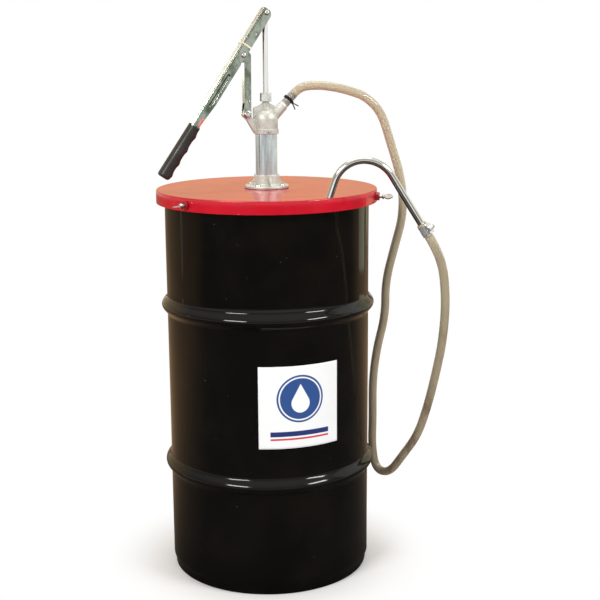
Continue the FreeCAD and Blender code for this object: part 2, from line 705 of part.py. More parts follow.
# ---------------------------------------------------------------- rod, piston and valves
def make_rod():
    top = S.rod_pin_height
    bar = turned("rod_bar", [
        (0, S.rod_bottom), (S.rod_radius - 0.6, S.rod_bottom), (S.rod_radius, S.rod_bottom + 0.6),
        (S.rod_radius, top, (S.rod_radius * 0.7071, top + S.rod_radius * 0.7071)),
        (0, top + S.rod_radius)])
    eye = across("rod_eye", S.pin_radius + 0.05, 0, SIZES["rod_pin_height"])
    keep("piston_rod", cut("piston_rod", bar, eye))

    base = SIZES["piston_base"]
    disc = ring("piston_blank", S.piston_radius, S.rod_radius, S.piston_thick, at(z=base))
    ports = []
    for number in range(6):
        angle, circle = math.radians(60 * number), SIZES["port_circle"]
        ports.append(rod(f"piston_port_{number + 1}", S.port_radius, S.piston_thick + 2.0, at(
            circle * math.cos(angle), circle * math.sin(angle), base - 1)))
    keep("piston_body", cut("piston_body", disc, fuse("piston_ports", ports)))
    seat, rim = S.piston_base + S.piston_thick, S.piston_base + S.cup_rim
    keep("piston_cup", turned("piston_cup", [
        (12.4, seat), (S.cup_radius - 0.4, seat), (S.cup_radius, seat + 2.0), (S.cup_radius, rim),
        (S.cup_radius - 1.8, rim), (S.cup_radius - 2.0, seat + 2.4), (12.4, seat + 2.4)]))
    nut_place = at(z=base - SIZES["piston_thick"])
    keep("piston_nut", cut(
        "piston_nut", hexagon("piston_nut_hex", S.piston_nut_flats, S.piston_thick, nut_place),
        rod("piston_nut_hole", S.rod_radius, S.piston_thick, nut_place)))
    keep("piston_valve", ring("piston_valve", S.valve_disc, S.rod_radius + 0.08, S.valve_sheet,
                              at(z=base + 6.3)))
    keep("valve_stop", ring("valve_stop", 8.0, S.rod_radius, 3.0, at(z=base + 11.5)))


def make_foot_valve():
    seat = S.seat_height
    shell = turned("foot_shell", [
        (S.suction_radius, seat - 22.0), (S.suction_radius + 3.5, seat - 22.0),
        (S.suction_radius + 3.5, seat - 10.0), (22.5, seat - 2.0), (22.5, seat + 33.0),
        (21.5, seat + 34.0), (S.barrel_radius, seat + 34.0), (S.barrel_radius, S.barrel_bottom),
        (13.0, S.barrel_bottom), (13.0, seat + 4.0), (S.foot_bore, seat - 3.0), (S.foot_bore, seat - 6.0),
        (S.suction_radius, seat - 6.0)])
    pin_height = SIZES["seat_height"] + SIZES["foot_pin_rise"]
    pin_hole = across("foot_pin_hole", S.foot_pin_radius, 0, pin_height, 25.0)
    keep("foot_valve_body", cut("foot_valve_body", shell, pin_hole))
    keep("foot_valve_stop", across("foot_valve_stop", S.foot_pin_radius, 0, pin_height, 22.0))
    ball = doc.addObject("Part::Sphere", "foot_valve_ball")
    bind(ball, "Radius", S.valve_ball)
    seat_reach = math.sqrt(SIZES["valve_ball"] ** 2 - SIZES["foot_bore"] ** 2)
    ball.Placement = at(z=SIZES["seat_height"] - 3.0 + seat_reach + 0.55)
    keep("foot_valve_ball", ball)

    height = S.seat_height - 6.0 - S.suction_bottom
    place = at(z=SIZES["suction_bottom"])
    keep("suction_tube", ring("suction_tube", S.suction_radius, S.suction_bore, height, place))
    bottom, floor = S.suction_bottom, S.suction_bottom - S.strainer_floor
    cup = turned("strainer_cup", [
        (0, floor), (S.strainer_radius - 0.8, floor), (S.strainer_radius, floor + 0.8),
        (S.strainer_radius, bottom + 14.0), (S.suction_radius, bottom + 14.0),
        (S.suction_radius, floor + 1.5), (0, floor + 1.5)])
    slots = []
    slot_bottom = SIZES["suction_bottom"] - 18.0
    for number in range(4):
        slots.append(block(f"strainer_slot_{number + 1}", THROUGH, S.slot_width, S.slot_height, at(
            turn=45.0 * number).multiply(at(-THROUGH / 2, -SIZES["slot_width"] / 2, slot_bottom))))
    keep("suction_strainer", cut("suction_strainer", cup, fuse("strainer_slots", slots)))


# ---------------------------------------------------------------- lever and link
def lever_frame():
    """Placement whose X runs down the lever from the link's top pin and whose Z points to its web."""
    tilt = SIZES["lever_tilt"]
    spot = Vector(SIZES["link_top_x"], 0, SIZES["link_top_z"])
    return Placement(spot, Rotation(Vector(0, 1, 0), -tilt).multiply(Rotation(Vector(0, 0, 1), 180)))


def lever_spot(x, z):
    """Lever coordinates of a point given in the pump's frame."""
    return lever_frame().inverse().multVec(Vector(x, 0, z))


def make_lever():
    frame = lever_frame()
    rise, drop, half, thick = S.web_rise, -S.flange_drop, S.lever_half, S.lever_sheet
    channel = plate("lever_channel", [
        (-88.0, rise),
        (-88.0, 4.0, (-86.0, -2.2)),
        (-77.5, drop),
        (96.0, drop),
        (138.0, drop + 3.6),
        (147.0, drop + 3.6),
        (147.0, rise),
    ], half * 2)
    pocket(channel, "lever_channel_hollow", [
        (-95.0, rise - thick), (-95.0, drop - 5.0), (160.0, drop - 5.0), (160.0, rise - thick)],
        (half - thick) * 2)
    rod_pin = lever_spot(0, SIZES["rod_pin_height"])
    tang = block("lever_tang", 96.0, 17.0, 9.0, at(141.0, -8.5, SIZES["web_rise"] - 13.0))
    holes = [
        across("lever_rod_hole", S.pin_radius, rod_pin.x, rod_pin.z),
        across("lever_link_hole", S.pin_radius, 0, 0),
        across("lever_spare_hole", 3.1, -42.0, 2.6),
        across("lever_small_hole", 1.6, 23.0, 1.6),
    ]
    solid = fuse("lever_solid", [channel, tang])
    lever = cut("lever_arm", solid, fuse("lever_holes", holes))
    lever.Placement = frame
    keep("lever_arm", lever)

    keep("lever_grip", doc.addObject("Part::Feature", "lever_grip"))
    grip_start, grip_end, centre = SIZES["grip_start"], SIZES["grip_end"], SIZES["grip_centre"]
    sections = []
    steps = 9
    for step in range(steps):
        share = step / (steps - 1)
        along = grip_start + (grip_end - 4.0 - grip_start) * share
        depth = SIZES["grip_depth"] + 1.1 * share + 0.7 * math.cos(2 * math.pi * 4 * share)
        width = SIZES["grip_width"] + 0.4 * share
        loop = Part.Ellipse(Vector(0, 0, 0), width, depth).toShape()
        loop.Placement = Placement(Vector(along, 0, centre), Rotation(
            Vector(0, 1, 0), Vector(0, 0, 1), Vector(1, 0, 0), "ZXY"))
        sections.append(Part.Wire([loop]))
    body = Part.makeLoft(sections, True, False)
    cap = Part.Ellipse(Vector(0, 0, 0), 13.8, 12.2).toShape()
    cap.Placement = Placement(Vector(grip_end - 4.0, 0, centre), sections[0].Edges[0].Placement.Rotation)
    cap_small = Part.Ellipse(Vector(0, 0, 0), 11.0, 9.4).toShape()
    cap_small.Placement = Placement(Vector(grip_end, 0, centre), cap.Placement.Rotation)
    end = Part.makeLoft([Part.Wire([cap]), Part.Wire([cap_small])], True, False)
    doc.recompute()
    NODES["lever_grip"].Shape = body.fuse(end).cut(solid.Shape)
    NODES["lever_grip"].Placement = frame

    head_y = SIZES["lever_half"]
    for label, spot in (("rod_pin", rod_pin), ("link_top_pin", Vector())):
        shank = across(label + "_shank", S.pin_radius, spot.x, spot.z, head_y)
        heads = []
        for side in (-1, 1):
            head = turned(f"{label}_head_{'near' if side < 0 else 'far'}", [
                (0, 0), (4.2, 0), (4.2, 0.8, (3.3, 1.9)), (1.6, 2.4), (0, 2.4)])
            head.Placement = toward(spot.x, side * head_y, spot.z, Vector(0, side, 0))
            heads.append(head)
        pin = fuse(label, [shank] + heads)
        pin.Placement = frame
        keep(label, pin)

    outer = block("tie_outer", 2.4, 27.4, 19.4, at(-18.2, -13.7, -5.8))
    inner = block("tie_inner", 2.6, 26.0, 30.0, at(-18.3, -13.0, -17.1))
    tail = block("tie_tail", 2.4, 1.0, 4.5, at(-18.2, -14.0, -9.5))
    tie = cut("lever_tie", fuse("tie_solid", [outer, tail]), inner)
    tie.Placement = frame
    keep("lever_tie", tie)


def make_link():
    top_x, top_z = S.link_top_x, S.link_top_z
    foot_x, foot_z = S.link_foot_x, S.link_foot_z
    bar = plate("link_channel", [
        (foot_x - 7.0, foot_z, (foot_x, foot_z - 7.0)),
        (foot_x + 7.0, foot_z),
        (top_x + 14.1, top_z - 10.0),
        (top_x + 14.1, top_z + 0.8),
        (top_x + 11.0, top_z + 5.4),
        (top_x, top_z + 5.5, (top_x - 3.9, top_z + 3.9)),
        (top_x - 5.5, top_z),
        (top_x + 1.8, top_z - 12.5),
        (foot_x - 4.4, foot_z + 18.0),
    ], S.link_half * 2)
    inside = (S.link_half - S.link_sheet) * 2
    pocket(bar, "link_hollow", [
        (foot_x - 2.8, foot_z + 18.6), (top_x + 3.5, top_z - 12.5), (top_x + 3.5, top_z + 20.0),
        (top_x + 30.0, top_z + 20.0), (top_x + 30.0, foot_z - 20.0), (foot_x - 2.8, foot_z - 20.0)], inside)
    pocket(bar, "link_fork_gap", [
        (foot_x - 15.0, foot_z - 20.0), (foot_x + 15.0, foot_z - 20.0),
        (foot_x + 15.0, foot_z + 18.6), (foot_x - 15.0, foot_z + 18.6)], inside)
    pocket(bar, "link_ear_gap", [
        (top_x - 15.0, top_z - 12.5), (top_x + 15.0, top_z - 12.5),
        (top_x + 15.0, top_z + 20.0), (top_x - 15.0, top_z + 20.0)], inside)
    pocket(bar, "link_pin_slot", [
        (top_x + 2.3, top_z - 2.3, (top_x + 3.2, top_z)),
        (top_x, top_z + 3.2),
        (top_x - 12.0, top_z + 3.2),
        (top_x - 12.0, top_z - 8.8),
        (top_x + 0.2, top_z - 8.8),
        (top_x + 0.8, top_z - 4.0),
    ], 40.0)
    foot = across("link_foot_hole", 3.06, SIZES["link_foot_x"], SIZES["link_foot_z"])
    window = across("link_window", 2.4, -33.0, 836.6)
    keep("link_bar", cut("link_bar", bar, fuse("link_holes", [foot, window])))

    half = SIZES["link_half"] + 0.3
    frame = toward(SIZES["link_foot_x"], -half, SIZES["link_foot_z"], Vector(0, -1, 0))
    shank = rod("foot_bolt_shank", 3.0, 2 * half + 7.0, frame.multiply(at(z=-2 * half - 7.0)))
    head = turned("foot_bolt_head", [
        (0, 0), (7.0, 0), (7.0, 1.6, (5.9, 3.4)), (3.0, 4.2), (0, 4.2)])
    head.Placement = frame
    keep("link_foot_bolt", fuse("link_foot_bolt", [shank, head]))
    nut_place = frame.multiply(at(z=-2 * half - 5.0))
    keep("link_foot_nut", cut("link_foot_nut", hexagon("foot_nut_hex", 10.0, 5.0, nut_place),
                              rod("foot_nut_hole", 3.0, 5.0, nut_place)))


# ---------------------------------------------------------------- build, check and write
make_drum()
make_cover()
for screw_number, (screw_angle, paddle_roll) in enumerate(zip(THUMB_ANGLES, THUMB_ROLLS), start=1):
    make_thumb_screw(screw_number, screw_angle, paddle_roll)
make_flange()
make_barrel()
make_head()
make_gland()
make_outlet()
make_spout()
make_hose()
make_rod()
make_foot_valve()
doc.recompute()
make_lever()
make_link()
doc.recompute()

for thing in doc.Objects:
    assert not {"Invalid", "Error"} & set(thing.State), f"{thing.Name} failed: {thing.State}"
os.makedirs("parts", exist_ok=True)
for label, node in NODES.items():
    assert not node.Shape.isNull() and node.Shape.isValid(), f"{label} is not a valid shape"
    node.Shape.exportStep(f"parts/{label}.step")
print(len(NODES), "sub-parts")
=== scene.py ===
"""Looks of a hand lever transfer pump on the cover of its open-head drum.

Everything is in metres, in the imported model's own frame: +Z up, the origin at the centre of the
drum's base ring, and the lever swinging in the XZ plane with its grip toward -X.
"""
import logging
import math
from dataclasses import dataclass
from enum import Enum
from typing import Any, Callable, Sequence

import bmesh
import bpy
import numpy as np
from mathutils import Matrix, Vector


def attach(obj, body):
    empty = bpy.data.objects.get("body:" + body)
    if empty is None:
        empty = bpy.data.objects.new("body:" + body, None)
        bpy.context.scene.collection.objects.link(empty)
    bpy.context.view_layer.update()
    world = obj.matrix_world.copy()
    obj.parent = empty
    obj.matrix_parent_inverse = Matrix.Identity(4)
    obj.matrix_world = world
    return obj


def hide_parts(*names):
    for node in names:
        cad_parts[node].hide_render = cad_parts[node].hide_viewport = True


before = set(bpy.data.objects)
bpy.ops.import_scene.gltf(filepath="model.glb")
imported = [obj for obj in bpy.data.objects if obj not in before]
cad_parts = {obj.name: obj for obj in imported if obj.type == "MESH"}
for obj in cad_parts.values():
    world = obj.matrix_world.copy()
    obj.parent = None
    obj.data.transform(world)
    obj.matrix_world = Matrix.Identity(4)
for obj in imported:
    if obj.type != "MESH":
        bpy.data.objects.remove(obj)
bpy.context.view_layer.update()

LOG = logging.getLogger("transfer_pump")
MM = 0.001
TOUCHING = 1e-6
Colour = tuple[float, float, float]


# ---------------------------------------------------------------- surfaces
def quads(rows: int, columns: int, close_rows: bool = False, close_columns: bool = False) -> np.ndarray:
    """Faces of a grid of points, four corners each.

    Args:
        rows: how many rows the grid has.
        columns: how many points each row has.
        close_rows: whether the last row joins the first.
        close_columns: whether the last column joins the first.

    Returns:
        An array of corner numbers, one line a face.
    """
    row, column = np.meshgrid(
        np.arange(rows if close_rows else rows - 1),
        np.arange(columns if close_columns else columns - 1), indexing="ij")
    next_row, next_column = (row + 1) % rows, (column + 1) % columns
    corners = (row * columns + column, row * columns + next_column,
               next_row * columns + next_column, next_row * columns + column)
    return np.stack(corners, axis=-1).reshape(-1, 4)


def smooth_step(value: np.ndarray, low: float, high: float) -> np.ndarray:
    """Zero below low, one above high, and 3s^2 - 2s^3 of the share between."""
    share = np.clip((value - low) / (high - low), 0.0, 1.0)
    return share * share * (3.0 - 2.0 * share)


def arc(centre: tuple[float, float], radius: float, first: float, last: float, count: int) -> np.ndarray:
    """Points of a circle's arc, centre + radius (cos a, sin a), from angle first to last in degrees."""
    angle = np.radians(np.linspace(first, last, count))
    return np.stack([centre[0] + radius * np.cos(angle), centre[1] + radius * np.sin(angle)], axis=1)


def turned(outline: np.ndarray, segments: int) -> tuple[np.ndarray, np.ndarray]:
    """A closed outline turned about Z: (r, z) at angle a goes to (r cos a, r sin a, z).

    Args:
        outline: radius and height of each point of a closed loop.
        segments: steps round the axis.

    Returns:
        The points, one row of the grid for each step, and the faces.
    """
    angle = np.linspace(0.0, 2.0 * np.pi, segments, endpoint=False)[:, None]
    radius, height = outline[None, :, 0], outline[None, :, 1]
    points = np.stack([radius * np.cos(angle), radius * np.sin(angle),
                       np.broadcast_to(height, (segments, len(outline)))], axis=-1)
    return points.reshape(-1, 3), quads(segments, len(outline), True, True)


def carried(path: np.ndarray, section: np.ndarray, reference: Sequence[float]) -> np.ndarray:
    """A section carried along a path, at right angles to it.

    Each ring is p + s0 n + s1 b, where n is the unit vector across both the path and the
    reference, and b is across the path and n.

    Args:
        path: the points that the section follows.
        section: two numbers a point, across the path.
        reference: a direction that the path never runs along.

    Returns:
        The points as an array of rings.
    """
    tangent = np.gradient(path, axis=0)
    tangent /= np.linalg.norm(tangent, axis=1, keepdims=True)
    normal = np.cross(tangent, np.asarray(reference, float))
    normal /= np.linalg.norm(normal, axis=1, keepdims=True)
    binormal = np.cross(tangent, normal)
    return (path[:, None] + section[None, :, :1] * normal[:, None]
            + section[None, :, 1:2] * binormal[:, None])


def linked(name: str, data: bpy.types.ID) -> bpy.types.Object:
    """A new object that holds the data, linked to the scene."""
    made = bpy.data.objects.new(name, data)
    bpy.context.scene.collection.objects.link(made)
    return made


def cleaned(source: bpy.types.Mesh, target: bpy.types.Mesh, flatten: bool = False) -> None:
    """Copy a mesh into another with its doubled points joined.

    Args:
        source: the mesh that is read.
        target: the mesh that is written, which may be the same.
        flatten: join flat neighbours, rather than turn the faces outward.
    """
    work = bmesh.new()
    work.from_mesh(source)
    bmesh.ops.remove_doubles(work, verts=work.verts, dist=TOUCHING)
    if flatten:
        bmesh.ops.dissolve_limit(work, angle_limit=math.radians(0.5), verts=work.verts, edges=work.edges)
    else:
        bmesh.ops.recalc_face_normals(work, faces=work.faces)
    work.to_mesh(target)
    work.free()


@dataclass(frozen=True)
class Fitting:
    """Where a finished piece belongs: its body, the CAD nodes it stands for and a slot name."""

    body: str
    nodes: tuple[str, ...]
    slot: str


def mesh_piece(name: str, points: np.ndarray, faces: np.ndarray, fitting: Fitting,
               material: bpy.types.Material, sharp: float = 40.0, merge: bool = True) -> bpy.types.Object:
    """Make a mesh piece, close its poles, point its faces outward and put it on its body.

    Args:
        name: the piece's name.
        points: its vertices.
        faces: the corners of its faces.
        fitting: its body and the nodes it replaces.
        material: its finish.
        sharp: the angle in degrees from which an edge stays crisp.
        merge: whether doubled points are joined and the faces turned outward.

    Returns:
        The new object.
    """
    mesh = bpy.data.meshes.new(name)
    mesh.from_pydata(points.reshape(-1, 3).tolist(), [], faces.tolist())
    if merge:
        cleaned(mesh, mesh)
    mesh.shade_smooth()
    mesh.set_sharp_from_angle(angle=math.radians(sharp))
    mesh.materials.append(material)
    piece = linked(name, mesh)
    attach(piece, fitting.body)
    if fitting.nodes:
        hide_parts(*fitting.nodes)
    LOG.info("%s: %d faces on %s", name, len(mesh.polygons), fitting.body)
    return piece


def softened(node: str, fitting: Fitting, material: bpy.types.Material, width: float) -> bpy.types.Object:
    """A CAD node's shape with its edges broken, as a finished piece of its own.

    Args:
        node: the CAD node.
        fitting: the piece's body, node and slot.
        material: its finish.
        width: how wide the broken edges are.

    Returns:
        The new object.
    """
    mesh = bpy.data.meshes.new(node + "_finished")
    cleaned(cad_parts[node].data, mesh, flatten=True)
    if "custom_normal" in mesh.attributes:
        mesh.attributes.remove(mesh.attributes["custom_normal"])
    mesh.materials.clear()
    mesh.materials.append(material)
    mesh.shade_smooth()
    mesh.set_sharp_from_angle(angle=math.radians(40.0))
    piece = linked(node + "_finished", mesh)
    bevel = piece.modifiers.new("broken_edges", "BEVEL")
    bevel.width, bevel.segments = width, 2
    bevel.limit_method, bevel.angle_limit = "ANGLE", math.radians(38.0)
    bevel.use_clamp_overlap = True
    weighted = piece.modifiers.new("flat_faces", "WEIGHTED_NORMAL")
    weighted.keep_sharp = True
    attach(piece, fitting.body)
    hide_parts(node)
    LOG.info("%s: edges broken by %.2f mm", piece.name, width / MM)
    return piece


# ---------------------------------------------------------------- materials
def maths(operation: str, reflected: bool = False) -> Callable[["Sock", Any], "Sock"]:
    """Make an operator of sockets that adds a Math node.

    Args:
        operation: what the node works out.
        reflected: whether the socket is the second of the two values.

    Returns:
        The operator, as a method.
    """
    def method(self: "Sock", other: Any) -> "Sock":
        """The node's output, from this socket and another value."""
        pair = (other, self) if reflected else (self, other)
        return self.graph.node("ShaderNodeMath", {"operation": operation}, dict(enumerate(pair)))
    return method


class Sock:
    """A node's output socket, on which arithmetic adds Math nodes."""

    __add__, __radd__ = maths("ADD"), maths("ADD", True)
    __sub__, __rsub__ = maths("SUBTRACT"), maths("SUBTRACT", True)
    __mul__, __rmul__ = maths("MULTIPLY"), maths("MULTIPLY", True)
    __pow__, highest = maths("POWER"), maths("MAXIMUM")

    def __init__(self, graph: "Graph", socket: bpy.types.NodeSocket) -> None:
        """Keep the graph and the socket."""
        self.graph = graph
        self.socket = socket

    def __abs__(self) -> "Sock":
        """Size without sign."""
        return self.graph.node("ShaderNodeMath", {"operation": "ABSOLUTE"}, {0: self})

    def step(self, low: float, high: float) -> "Sock":
        """A smooth step from 0 at low to 1 at high."""
        return self.graph.node("ShaderNodeMapRange", {"interpolation_type": "SMOOTHSTEP"},
                               {"Value": self, "From Min": low, "From Max": high})

    def between(self, low: Any, high: Any) -> "Sock":
        """low where this is 0 and high where it is 1."""
        return low + self * (high - low)


class Graph:
    """A shader tree, with one method that adds every node."""

    def __init__(self, owner: Any) -> None:
        """Empty the tree of a material or a world."""
        owner.use_nodes = True
        self.tree = owner.node_tree
        self.tree.nodes.clear()

    def node(self, kind: str, settings: dict | None = None, inputs: dict | None = None,
             output: Any = 0) -> Sock:
        """Add a node.

        Args:
            kind: the node's type.
            settings: its properties, set first.
            inputs: values or sockets by input name or number.
            output: the output that is returned.

        Returns:
            That output.
        """
        made = self.tree.nodes.new(kind)
        for key, value in (settings or {}).items():
            setattr(made, key, value)
        for key, value in (inputs or {}).items():
            if isinstance(value, Sock):
                self.tree.links.new(value.socket, made.inputs[key])
            else:
                made.inputs[key].default_value = value
        return Sock(self, made.outputs[output])

    def place(self, scale: Sequence[float] = (1.0, 1.0, 1.0)) -> Sock:
        """Object coordinates, scaled."""
        spot = self.node("ShaderNodeTexCoord", output="Object")
        return self.node("ShaderNodeMapping", None, {"Vector": spot, "Scale": tuple(scale)})

    def axis(self, vector: Sock, letter: str) -> Sock:
        """One of a vector's three numbers."""
        return self.node("ShaderNodeSeparateXYZ", None, {0: vector}, letter)

    def noise(self, where: Sock, scale: float, detail: float = 3.0, roughness: float = 0.55) -> Sock:
        """Cloudy noise from 0 to 1."""
        return self.node("ShaderNodeTexNoise", None, {
            "Vector": where, "Scale": scale, "Detail": detail, "Roughness": roughness})

    def mix(self, share: Any, first: Any, second: Any) -> Sock:
        """A colour between first, at 0, and second, at 1."""
        first, second = ((*c, 1.0) if isinstance(c, tuple) else c for c in (first, second))
        return self.node("ShaderNodeMix", {"data_type": "RGBA"}, {0: share, 6: first, 7: second}, 2)

    def bump(self, height: Sock, strength: float, depth: float) -> Sock:
        """A normal bent by a height of 0 to 1 over a depth in metres."""
        return self.node("ShaderNodeBump", None, {"Height": height, "Strength": strength, "Distance": depth})

    def principled(self, **inputs: Any) -> Sock:
        """A Principled shader; underscores in the names stand for spaces."""
        named = {key.replace("_", " "): value for key, value in inputs.items()}
        if isinstance(named.get("Base Color"), tuple):
            named["Base Color"] = (*named["Base Color"], 1.0)
        return self.node("ShaderNodeBsdfPrincipled", None, named)

    def finish(self, shader: Sock, output: str = "ShaderNodeOutputMaterial") -> None:
        """Join a shader to the tree's output."""
        end = self.tree.nodes.new(output)
        self.tree.links.new(shader.socket, end.inputs["Surface"])


@dataclass(frozen=True)
class Finish:
    """What every finish has: a name, and a method that lays its shader."""

    name: str

    def shader(self, graph: Graph) -> Sock:
        """The finish's shader in a graph."""
        raise NotImplementedError

    def material(self) -> bpy.types.Material:
        """The finish as a Blender material, made once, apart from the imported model's own."""
        label = self.name + "_finish"
        found = bpy.data.materials.get(label)
        if found is None:
            found = bpy.data.materials.new(label)
            graph = Graph(found)
            graph.finish(self.shader(graph))
        return found


@dataclass(frozen=True)
class Enamel(Finish):
    """Sprayed gloss paint: orange peel, faint clouds, smudged gloss and settled dust."""

    colour: Colour
    shade: Colour
    specular: float = 0.5
    gloss: tuple[float, float] = (0.10, 0.20)
    peel: float = 0.10
    dust: Colour = (0.30, 0.26, 0.20)

    def shader(self, graph: Graph) -> Sock:
        """Paint over a slow cloud, with specks where a fine noise peaks."""
        spot = graph.place()
        cloud = graph.noise(spot, 9.0, 4.0).step(0.35, 0.68)
        specks = graph.noise(spot, 240.0, 1.0).step(0.80, 0.84)
        smudge = graph.noise(graph.place((1.0, 1.0, 0.35)), 14.0, 5.0, 0.65).step(0.35, 0.75)
        peel = graph.noise(spot, 420.0, 2.0)
        paint = graph.mix(cloud, self.colour, self.shade)
        return graph.principled(
            Base_Color=graph.mix(specks * 0.5, paint, self.dust),
            Roughness=smudge.between(*self.gloss) + specks * 0.3,
            Specular_IOR_Level=self.specular,
            Normal=graph.bump(peel, self.peel, 0.3 * MM))


@dataclass(frozen=True)
class Metal(Finish):
    """Plated, cast or drawn metal, with clouds, grain along one direction, spangle and stains."""

    bright: Colour
    dull: Colour
    gloss: tuple[float, float] = (0.18, 0.36)
    cloud: float = 45.0
    stretch: tuple[float, float, float] = (1.0, 1.0, 1.0)
    spangle: float = 0.0
    grain: float = 0.10
    grain_scale: float = 500.0
    stain: Colour = (0.10, 0.075, 0.045)
    stained: float = 0.25
    metallic: float = 1.0

    def shader(self, graph: Graph) -> Sock:
        """Two shades over a cloud, crystals if it is spangled, and stains that also dull it."""
        spot = graph.place(self.stretch)
        cloud = graph.noise(spot, self.cloud, 4.0, 0.6).step(0.32, 0.70)
        if self.spangle:
            crystal = graph.node("ShaderNodeTexVoronoi", None, {
                "Vector": spot, "Scale": 130.0, "Randomness": 1.0}, "Color")
            shade = graph.node("ShaderNodeSeparateColor", None, {0: crystal})
            cloud = cloud * (1.0 - self.spangle) + shade * self.spangle
        stain = graph.noise(spot, self.cloud * 0.45, 5.0, 0.7).step(0.56, 0.78) * self.stained
        grain = graph.noise(spot, self.grain_scale, 3.0, 0.6)
        colour = graph.mix(cloud, self.bright, self.dull)
        return graph.principled(
            Base_Color=graph.mix(stain, colour, self.stain),
            Metallic=(1.0 - stain * 0.5) * self.metallic,
            Roughness=cloud.between(*self.gloss) + stain * 0.25,
            Normal=graph.bump(grain, self.grain, 0.25 * MM))


@dataclass(frozen=True)
class Rubber(Finish):
    """Moulded rubber or plastic: fine skin, rubbed patches and a little dust."""

    colour: Colour
    rubbed: Colour
    gloss: tuple[float, float] = (0.40, 0.58)
    skin: float = 0.20
    skin_scale: float = 600.0
    translucent: float = 0.0

    def shader(self, graph: Graph) -> Sock:
        """Colour over broad rubbed patches, with a fine skin as bump."""
        spot = graph.place()
        rubbed = graph.noise(spot, 38.0, 4.0, 0.6).step(0.42, 0.75)
        skin = graph.noise(spot, self.skin_scale, 2.0)
        return graph.principled(
            Base_Color=graph.mix(rubbed, self.colour, self.rubbed),
            Roughness=rubbed.between(self.gloss[1], self.gloss[0]),
            Specular_IOR_Level=0.42,
            Subsurface_Weight=self.translucent,
            Subsurface_Radius=(4 * MM, 3 * MM, 2 * MM),
            Normal=graph.bump(skin, self.skin, 0.2 * MM))


@dataclass(frozen=True)
class ClearVinyl(Finish):
    """Clear hose vinyl yellowed by oil: it bends light, with a milky share and dark residue."""

    tint: Colour = (0.96, 0.93, 0.86)
    milk: Colour = (0.64, 0.55, 0.385)
    residue: Colour = (0.13, 0.075, 0.045)
    milky: float = 0.50
    caked: float = 0.30
    soiled: tuple[float, float] = (0.80, 0.22)

    def shader(self, graph: Graph) -> Sock:
        """A clear shader mixed with a milky one, browner and thicker where oil has run down."""
        height = graph.axis(graph.place(), "Z")
        run = 1.0 - height.step(self.soiled[1], self.soiled[0])
        streak = graph.noise(graph.place((1.0, 1.0, 0.12)), 46.0, 3.0, 0.6).step(0.40, 0.75)
        residue = run * (streak * 0.6 + 0.4)
        clear = graph.principled(
            Base_Color=self.tint, Roughness=0.06, IOR=1.45, Transmission_Weight=1.0)
        milk = graph.principled(
            Base_Color=graph.mix(residue, self.milk, self.residue), Roughness=0.09)
        return graph.node("ShaderNodeMixShader", None, {
            0: residue * self.caked + self.milky, 1: clear, 2: milk})


@dataclass(frozen=True)
class PrintedVinyl(Finish):
    """The drum's sticker: white vinyl printed with a disc, a drop and two plain bars."""

    paper: Colour = (0.80, 0.81, 0.82)
    disc: Colour = (0.020, 0.070, 0.25)
    bar: Colour = (0.012, 0.03, 0.16)
    line: Colour = (0.62, 0.035, 0.055)
    soft: float = 0.006
    middle: float = 0.60
    disc_radius: float = 0.285
    ring_span: tuple[float, float] = (0.245, 0.262)
    drop_centre: float = 0.545
    drop_radius: float = 0.115
    drop_shoulder: tuple[float, float] = (0.054, 0.056)
    tip: float = 0.785
    tip_slope: float = 0.546
    bar_half: float = 0.36
    bar_span: tuple[float, float] = (0.150, 0.205)
    line_span: tuple[float, float] = (0.105, 0.122)

    def shader(self, graph: Graph) -> Sock:
        """The print from the sticker's own UV map, its edges a smooth step wide."""
        flat = graph.node("ShaderNodeUVMap", {"uv_map": "print"})
        across = graph.axis(flat, "X")
        up = graph.axis(flat, "Y")
        centred = abs(across - 0.5)
        height = up - self.middle
        reach = (centred * centred + height * height) ** 0.5
        within, beyond = (reach.step(edge, edge + self.soft) for edge in self.ring_span)
        disc = 1.0 - reach.step(self.disc_radius, self.disc_radius + self.soft)
        ring = disc * within * (1.0 - beyond)
        low = up - self.drop_centre
        bowl = (self.drop_radius ** 2 - low * low).highest(0.0) ** 0.5
        above = low.step(*self.drop_shoulder)
        tip = ((self.tip - up) * self.tip_slope).highest(0.0)
        half = bowl * (1.0 - above) + tip * above
        drop = (half - centred).step(0.0, self.soft)
        bar = self.box(centred, up, *self.bar_span)
        line = self.box(centred, up, *self.line_span)
        colour = self.paper
        for mask, ink in ((disc, self.disc), (ring, self.paper), (drop * disc, self.paper),
                          (bar, self.bar), (line, self.line)):
            colour = graph.mix(mask, colour, ink)
        haze = graph.noise(graph.place(), 30.0, 4.0)
        return graph.principled(
            Base_Color=colour, Roughness=haze.between(0.24, 0.40),
            Normal=graph.bump(haze, 0.10, 0.4 * MM))

    def box(self, centred: Sock, up: Sock, low: float, high: float) -> Sock:
        """A mask that is one inside a bar from low to high, with soft edges."""
        inside = 1.0 - centred.step(self.bar_half, self.bar_half + self.soft)
        return inside * up.step(low - self.soft, low) * (1.0 - up.step(high, high + self.soft))


